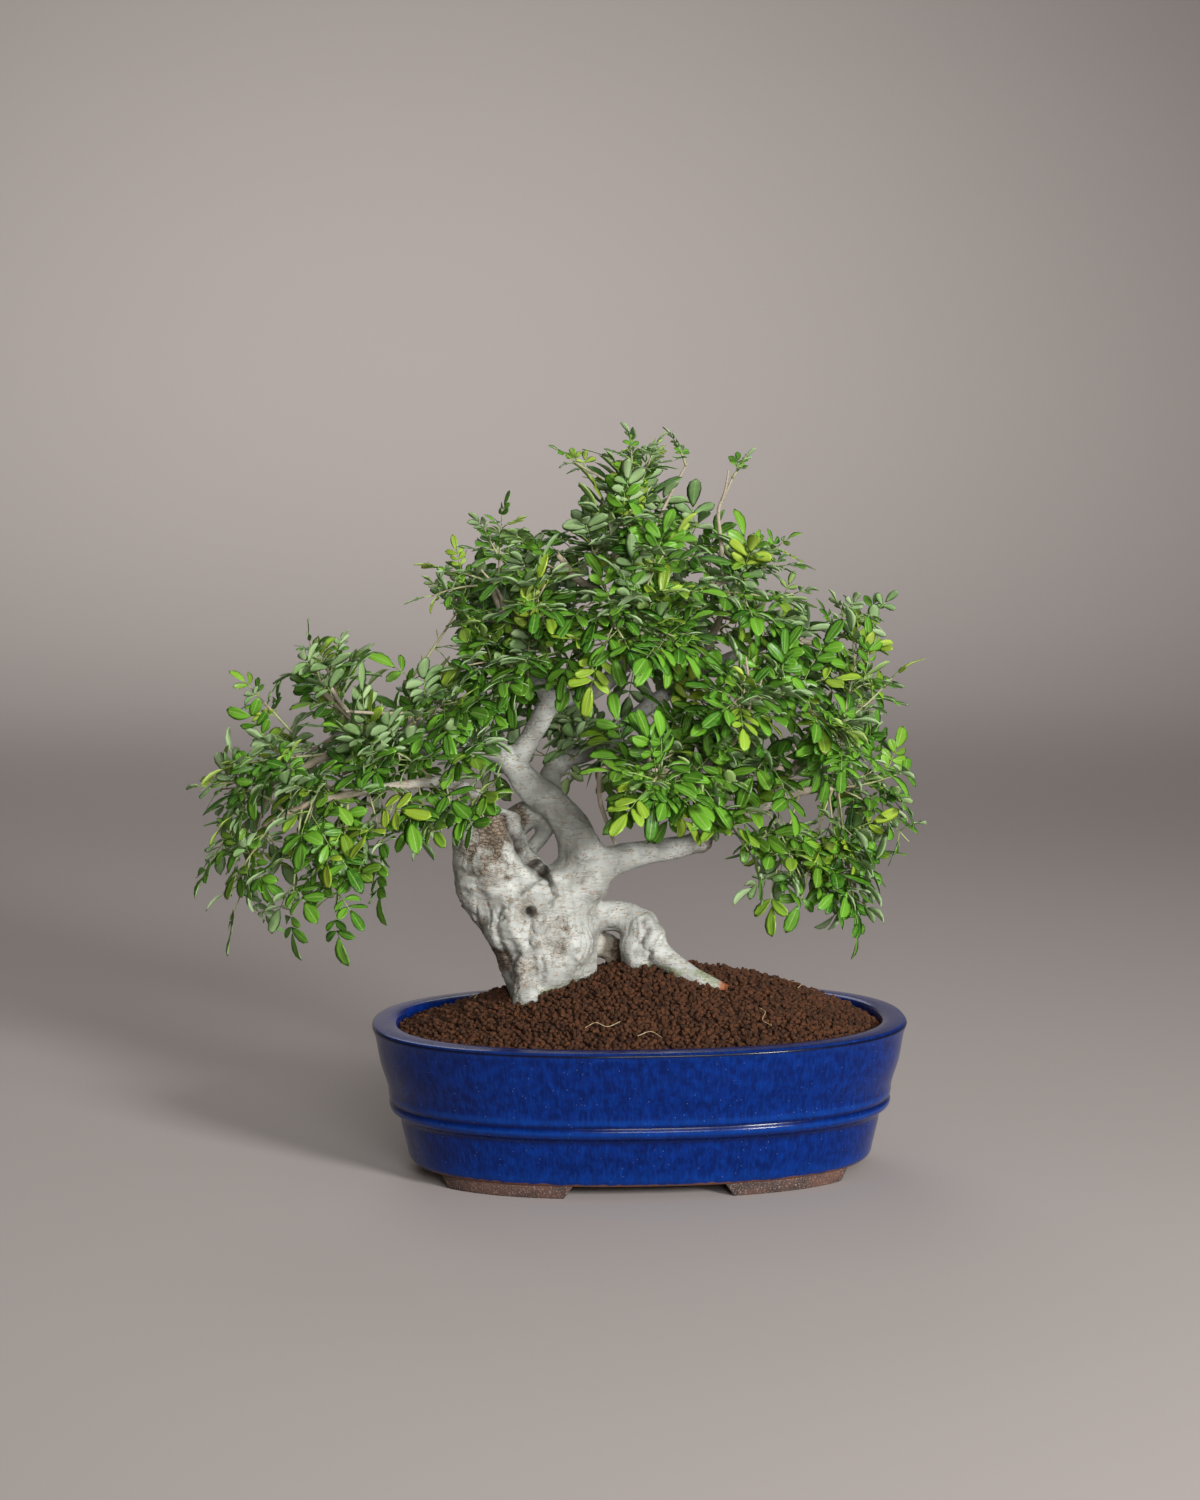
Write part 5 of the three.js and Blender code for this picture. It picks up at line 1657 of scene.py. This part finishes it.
class BONSAI_OT_leaves(bpy.types.Operator):
    """Grows the leaf sprays, one piece for each, and leafy spurs on the limbs between them"""

    bl_idname = "bonsai.leaves"
    bl_label = "Leaves"

    def execute(self, context):
        settings = context.scene.bonsai_leaves
        lines, tree = limb_guide()
        sprays = []
        for number, node in enumerate(SPRAY_NODES):
            seat, tip = spray_ends(node, lines, tree)
            foliage = Foliage(100 + number)
            foliage.add_spray(seat, tip, settings.size, crown_outward((seat + tip) / 2))
            sprays.append((foliage, (seat + tip) / 2))
        self.grow_spurs(sprays, settings)
        self.fill_crown(sprays, settings)
        self.add_sprigs(sprays)
        pattern = leaflet_pattern()
        dark = tuple(settings.dark)
        light = tuple(settings.light)
        materials = [
            leaf_material("ash_leaf_upper_side", dark, light, 0.34, 0.5),
            leaf_material("ash_leaf_underside", "#668a4e", "#a2b98a", 0.7, 0.35),
            stalk_material("green_leaf_stalk", "#8fae55", "#7d8f4a", 4),
            stalk_material("young_ash_twig", "#94a06a", "#9a8a70", 9),
        ]
        for number, (node, (foliage, _)) in enumerate(zip(SPRAY_NODES, sprays)):
            piece = foliage.build(f"ash_leaves_{number + 1:02d}", pattern, materials)
            settle(piece, piece.name, [node])
        return {"FINISHED"}

    def grow_spurs(self, sprays, settings):
        """Short leafy twigs along the limbs, each counted to the spray nearest to it."""
        chance = random.Random(5)
        for stops in LEAFY_LIMBS.values():
            line = smooth_line(stops, 10)
            steps = np.linalg.norm(np.diff(line[:, :3], axis=0), axis=1)
            travelled = np.concatenate([[0], np.cumsum(steps)])
            at = SPUR_START
            while at < travelled[-1]:
                place = np.array([np.interp(at, travelled, line[:, k]) for k in range(3)])
                at += settings.spur_spacing * chance.uniform(0.7, 1.3)
                outward = crown_outward(place)
                sideways = np.array([chance.uniform(-1, 1) for _ in range(3)])
                way = unit(0.6 * outward + sideways + np.array([0, 0, 0.35]))
                end = place + way * chance.uniform(16, 30)
                foliage = nearest_foliage(sprays, end)
                foliage.add_shoot(place, end, 0.9, settings.size * 0.9, outward, 13, 0.4)

    def fill_crown(self, sprays, settings):
        """Single shoots from the nearest limb to the places that the crown fills."""
        lines = np.vstack([smooth_line(stops, 8)[10:] for stops in LEAFY_LIMBS.values()])
        for tip in np.array(FILL_TIPS, float):
            place = lines[np.linalg.norm(lines[:, :3] - tip, axis=1).argmin(), :3]
            foliage = nearest_foliage(sprays, tip)
            foliage.add_shoot(place, tip, 1.0, settings.size * 1.05, crown_outward(tip), 12, 0.35)

    def add_sprigs(self, sprays):
        """The young shoots that stand out of the crown, which are not trimmed to its outline."""
        for start, end, size in SPRIGS:
            start = np.array(start, float)
            end = np.array(end, float)
            foliage = nearest_foliage(sprays, end)
            foliage.trimmed = False
            foliage.add_shoot(start, end, 1.1, size, crown_outward(end), 0.7 * size, 0.3)
            foliage.trimmed = True


class BONSAI_OT_drains(bpy.types.Operator):
    """Gives the drain screens and their clips their finish"""

    bl_idname = "bonsai.drains"
    bl_label = "Drain screens"

    def execute(self, context):
        finishes = {"drain_screen": mesh_plastic_material(), "screen_clip": wire_material()}
        for start, material in finishes.items():
            for side in ("left", "right"):
                give_materials(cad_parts[f"{start}_{side}"], material)
        return {"FINISHED"}


class BONSAI_OT_stage(bpy.types.Operator):
    """Sets up the round paper backdrop, the soft lights and the camera"""

    bl_idname = "bonsai.stage"
    bl_label = "Stage"

    def execute(self, context):
        settings = context.scene.bonsai_stage
        self.add_backdrop(tuple(settings.paper))
        object_middle = (0, 0, 0.25)
        self.add_light("key_light", (1.9, -2.8, 1.15), object_middle, 0.7, settings.key)
        self.add_light("fill_light", (0.4, -3.4, 1.3), object_middle, 1.2, settings.fill)
        self.add_light("back_light", (-0.5, 3.0, 2.6), object_middle, 2.0, 0.5 * settings.fill)
        self.add_light("backdrop_light", (-0.2, 3.2, 4.4), (0, 5.4, 0.2), 2.4, settings.backdrop)
        world = bpy.data.worlds.new("soft_room")
        world.use_nodes = True
        background = world.node_tree.nodes["Background"].inputs
        background["Color"].default_value = (*linear("#e9e6e4"), 1)
        background["Strength"].default_value = 0.45
        context.scene.world = world
        context.scene.view_settings.view_transform = "Standard"
        self.add_camera(context)
        return {"FINISHED"}

    def add_backdrop(self, colour):
        """A round floor that curves up into a wall all around, in metres."""
        clear_selection()
        radius = 3.1
        curve = 3.6
        top = 6.5
        bpy.ops.mesh.primitive_circle_add(vertices=96, radius=radius, fill_type="NGON")
        floor = bpy.context.active_object
        bpy.ops.object.mode_set(mode="EDIT")
        turns = np.linspace(0, math.pi / 2, 13)[1:]
        rings = [(radius + curve * math.sin(turn), curve * (1 - math.cos(turn))) for turn in turns]
        bpy.ops.mesh.select_mode(type="EDGE")
        bpy.ops.mesh.select_all(action="SELECT")
        for reach, z in [*rings, (radius + curve, top)]:
            bpy.ops.mesh.extrude_edges_indiv()
            mesh = bmesh.from_edit_mesh(floor.data)
            for vertex in mesh.verts:
                if vertex.select:
                    share = reach / math.hypot(vertex.co.x, vertex.co.y)
                    vertex.co = Vector((vertex.co.x * share, vertex.co.y * share, z))
            bmesh.update_edit_mesh(floor.data)
        bpy.ops.mesh.select_all(action="SELECT")
        bpy.ops.mesh.normals_make_consistent(inside=True)
        bpy.ops.object.mode_set(mode="OBJECT")
        shade_smooth(floor)
        floor.name = "backdrop"
        give_materials(floor, paper_material(colour))
        floor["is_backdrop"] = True

    def add_light(self, name, place, target, size, power):
        """A soft square lamp at a place in metres, turned to its target."""
        clear_selection()
        bpy.ops.object.light_add(type="AREA", location=place)
        light = bpy.context.active_object
        light.name = name
        light.data.size = size
        light.data.energy = power
        light.data.spread = math.radians(LIGHT_SPREAD)
        aim = Vector(target) - Vector(place)
        light.rotation_euler = aim.to_track_quat("-Z", "Y").to_euler()

    def add_camera(self, context):
        """The photograph's view: a long lens at the pot's front, a little above it."""
        azimuth, elevation, roll = (math.radians(angle) for angle in (-3, 6.37, -0.33))
        distance = 2515
        aside = -29
        height = 322.5
        level = math.cos(elevation)
        forward = Vector((-math.sin(azimuth) * level, math.cos(azimuth) * level, -math.sin(elevation)))
        right = Vector((math.cos(azimuth), math.sin(azimuth), 0))
        up = right.cross(forward)
        target = Vector((aside * math.cos(azimuth), aside * math.sin(azimuth), height))
        place = ORIGIN + (target - forward * distance) * MM
        rolled_right = right * math.cos(roll) + up * math.sin(roll)
        rolled_up = up * math.cos(roll) - right * math.sin(roll)
        turn = Matrix((rolled_right, rolled_up, -forward)).transposed()
        clear_selection()
        bpy.ops.object.camera_add(location=place, rotation=turn.to_euler())
        camera = bpy.context.active_object
        camera.name = "front_camera"
        camera.data.sensor_fit = "VERTICAL"
        camera.data.sensor_height = 36
        camera.data.lens = LENS
        context.scene.camera = camera


class BONSAI_PT_panel(bpy.types.Panel):
    """Lists the bonsai's settings and operators"""

    bl_idname = "BONSAI_PT_panel"
    bl_label = "Bonsai"
    bl_space_type = "VIEW_3D"
    bl_region_type = "UI"
    bl_category = "Bonsai"

    def draw(self, context):
        for name, operators in SECTIONS:
            section = self.layout.box()
            settings = getattr(context.scene, name)
            for key in settings.__annotations__:
                section.prop(settings, key)
            for operator in operators:
                section.operator(operator)


SETTINGS = {
    "bonsai_pot": BonsaiPotSettings,
    "bonsai_soil": BonsaiSoilSettings,
    "bonsai_wood": BonsaiWoodSettings,
    "bonsai_leaves": BonsaiLeafSettings,
    "bonsai_stage": BonsaiStageSettings,
}
SECTIONS = [
    ("bonsai_pot", ["bonsai.pot", "bonsai.drains"]),
    ("bonsai_wood", ["bonsai.wood"]),
    ("bonsai_soil", ["bonsai.soil"]),
    ("bonsai_leaves", ["bonsai.leaves"]),
    ("bonsai_stage", ["bonsai.stage"]),
]
CLASSES = [
    *SETTINGS.values(), BONSAI_OT_pot, BONSAI_OT_wood, BONSAI_OT_soil, BONSAI_OT_leaves, BONSAI_OT_drains,
    BONSAI_OT_stage, BONSAI_PT_panel,
]


def register():
    for item in CLASSES:
        bpy.utils.register_class(item)
    for name, settings in SETTINGS.items():
        setattr(bpy.types.Scene, name, bpy.props.PointerProperty(type=settings))


def unregister():
    for name in SETTINGS:
        delattr(bpy.types.Scene, name)
    for item in reversed(CLASSES):
        bpy.utils.unregister_class(item)


def main():
    register()
    bpy.ops.bonsai.pot()
    bpy.ops.bonsai.drains()
    bpy.ops.bonsai.wood()
    bpy.ops.bonsai.soil()
    bpy.ops.bonsai.leaves()
    bpy.ops.bonsai.stage()
    sizes = {"cad": CAD_BOX, "visual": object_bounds()}
    plain = {name: [list(corner) for corner in box] for name, box in sizes.items()}


if __name__ == "__main__":
    main()
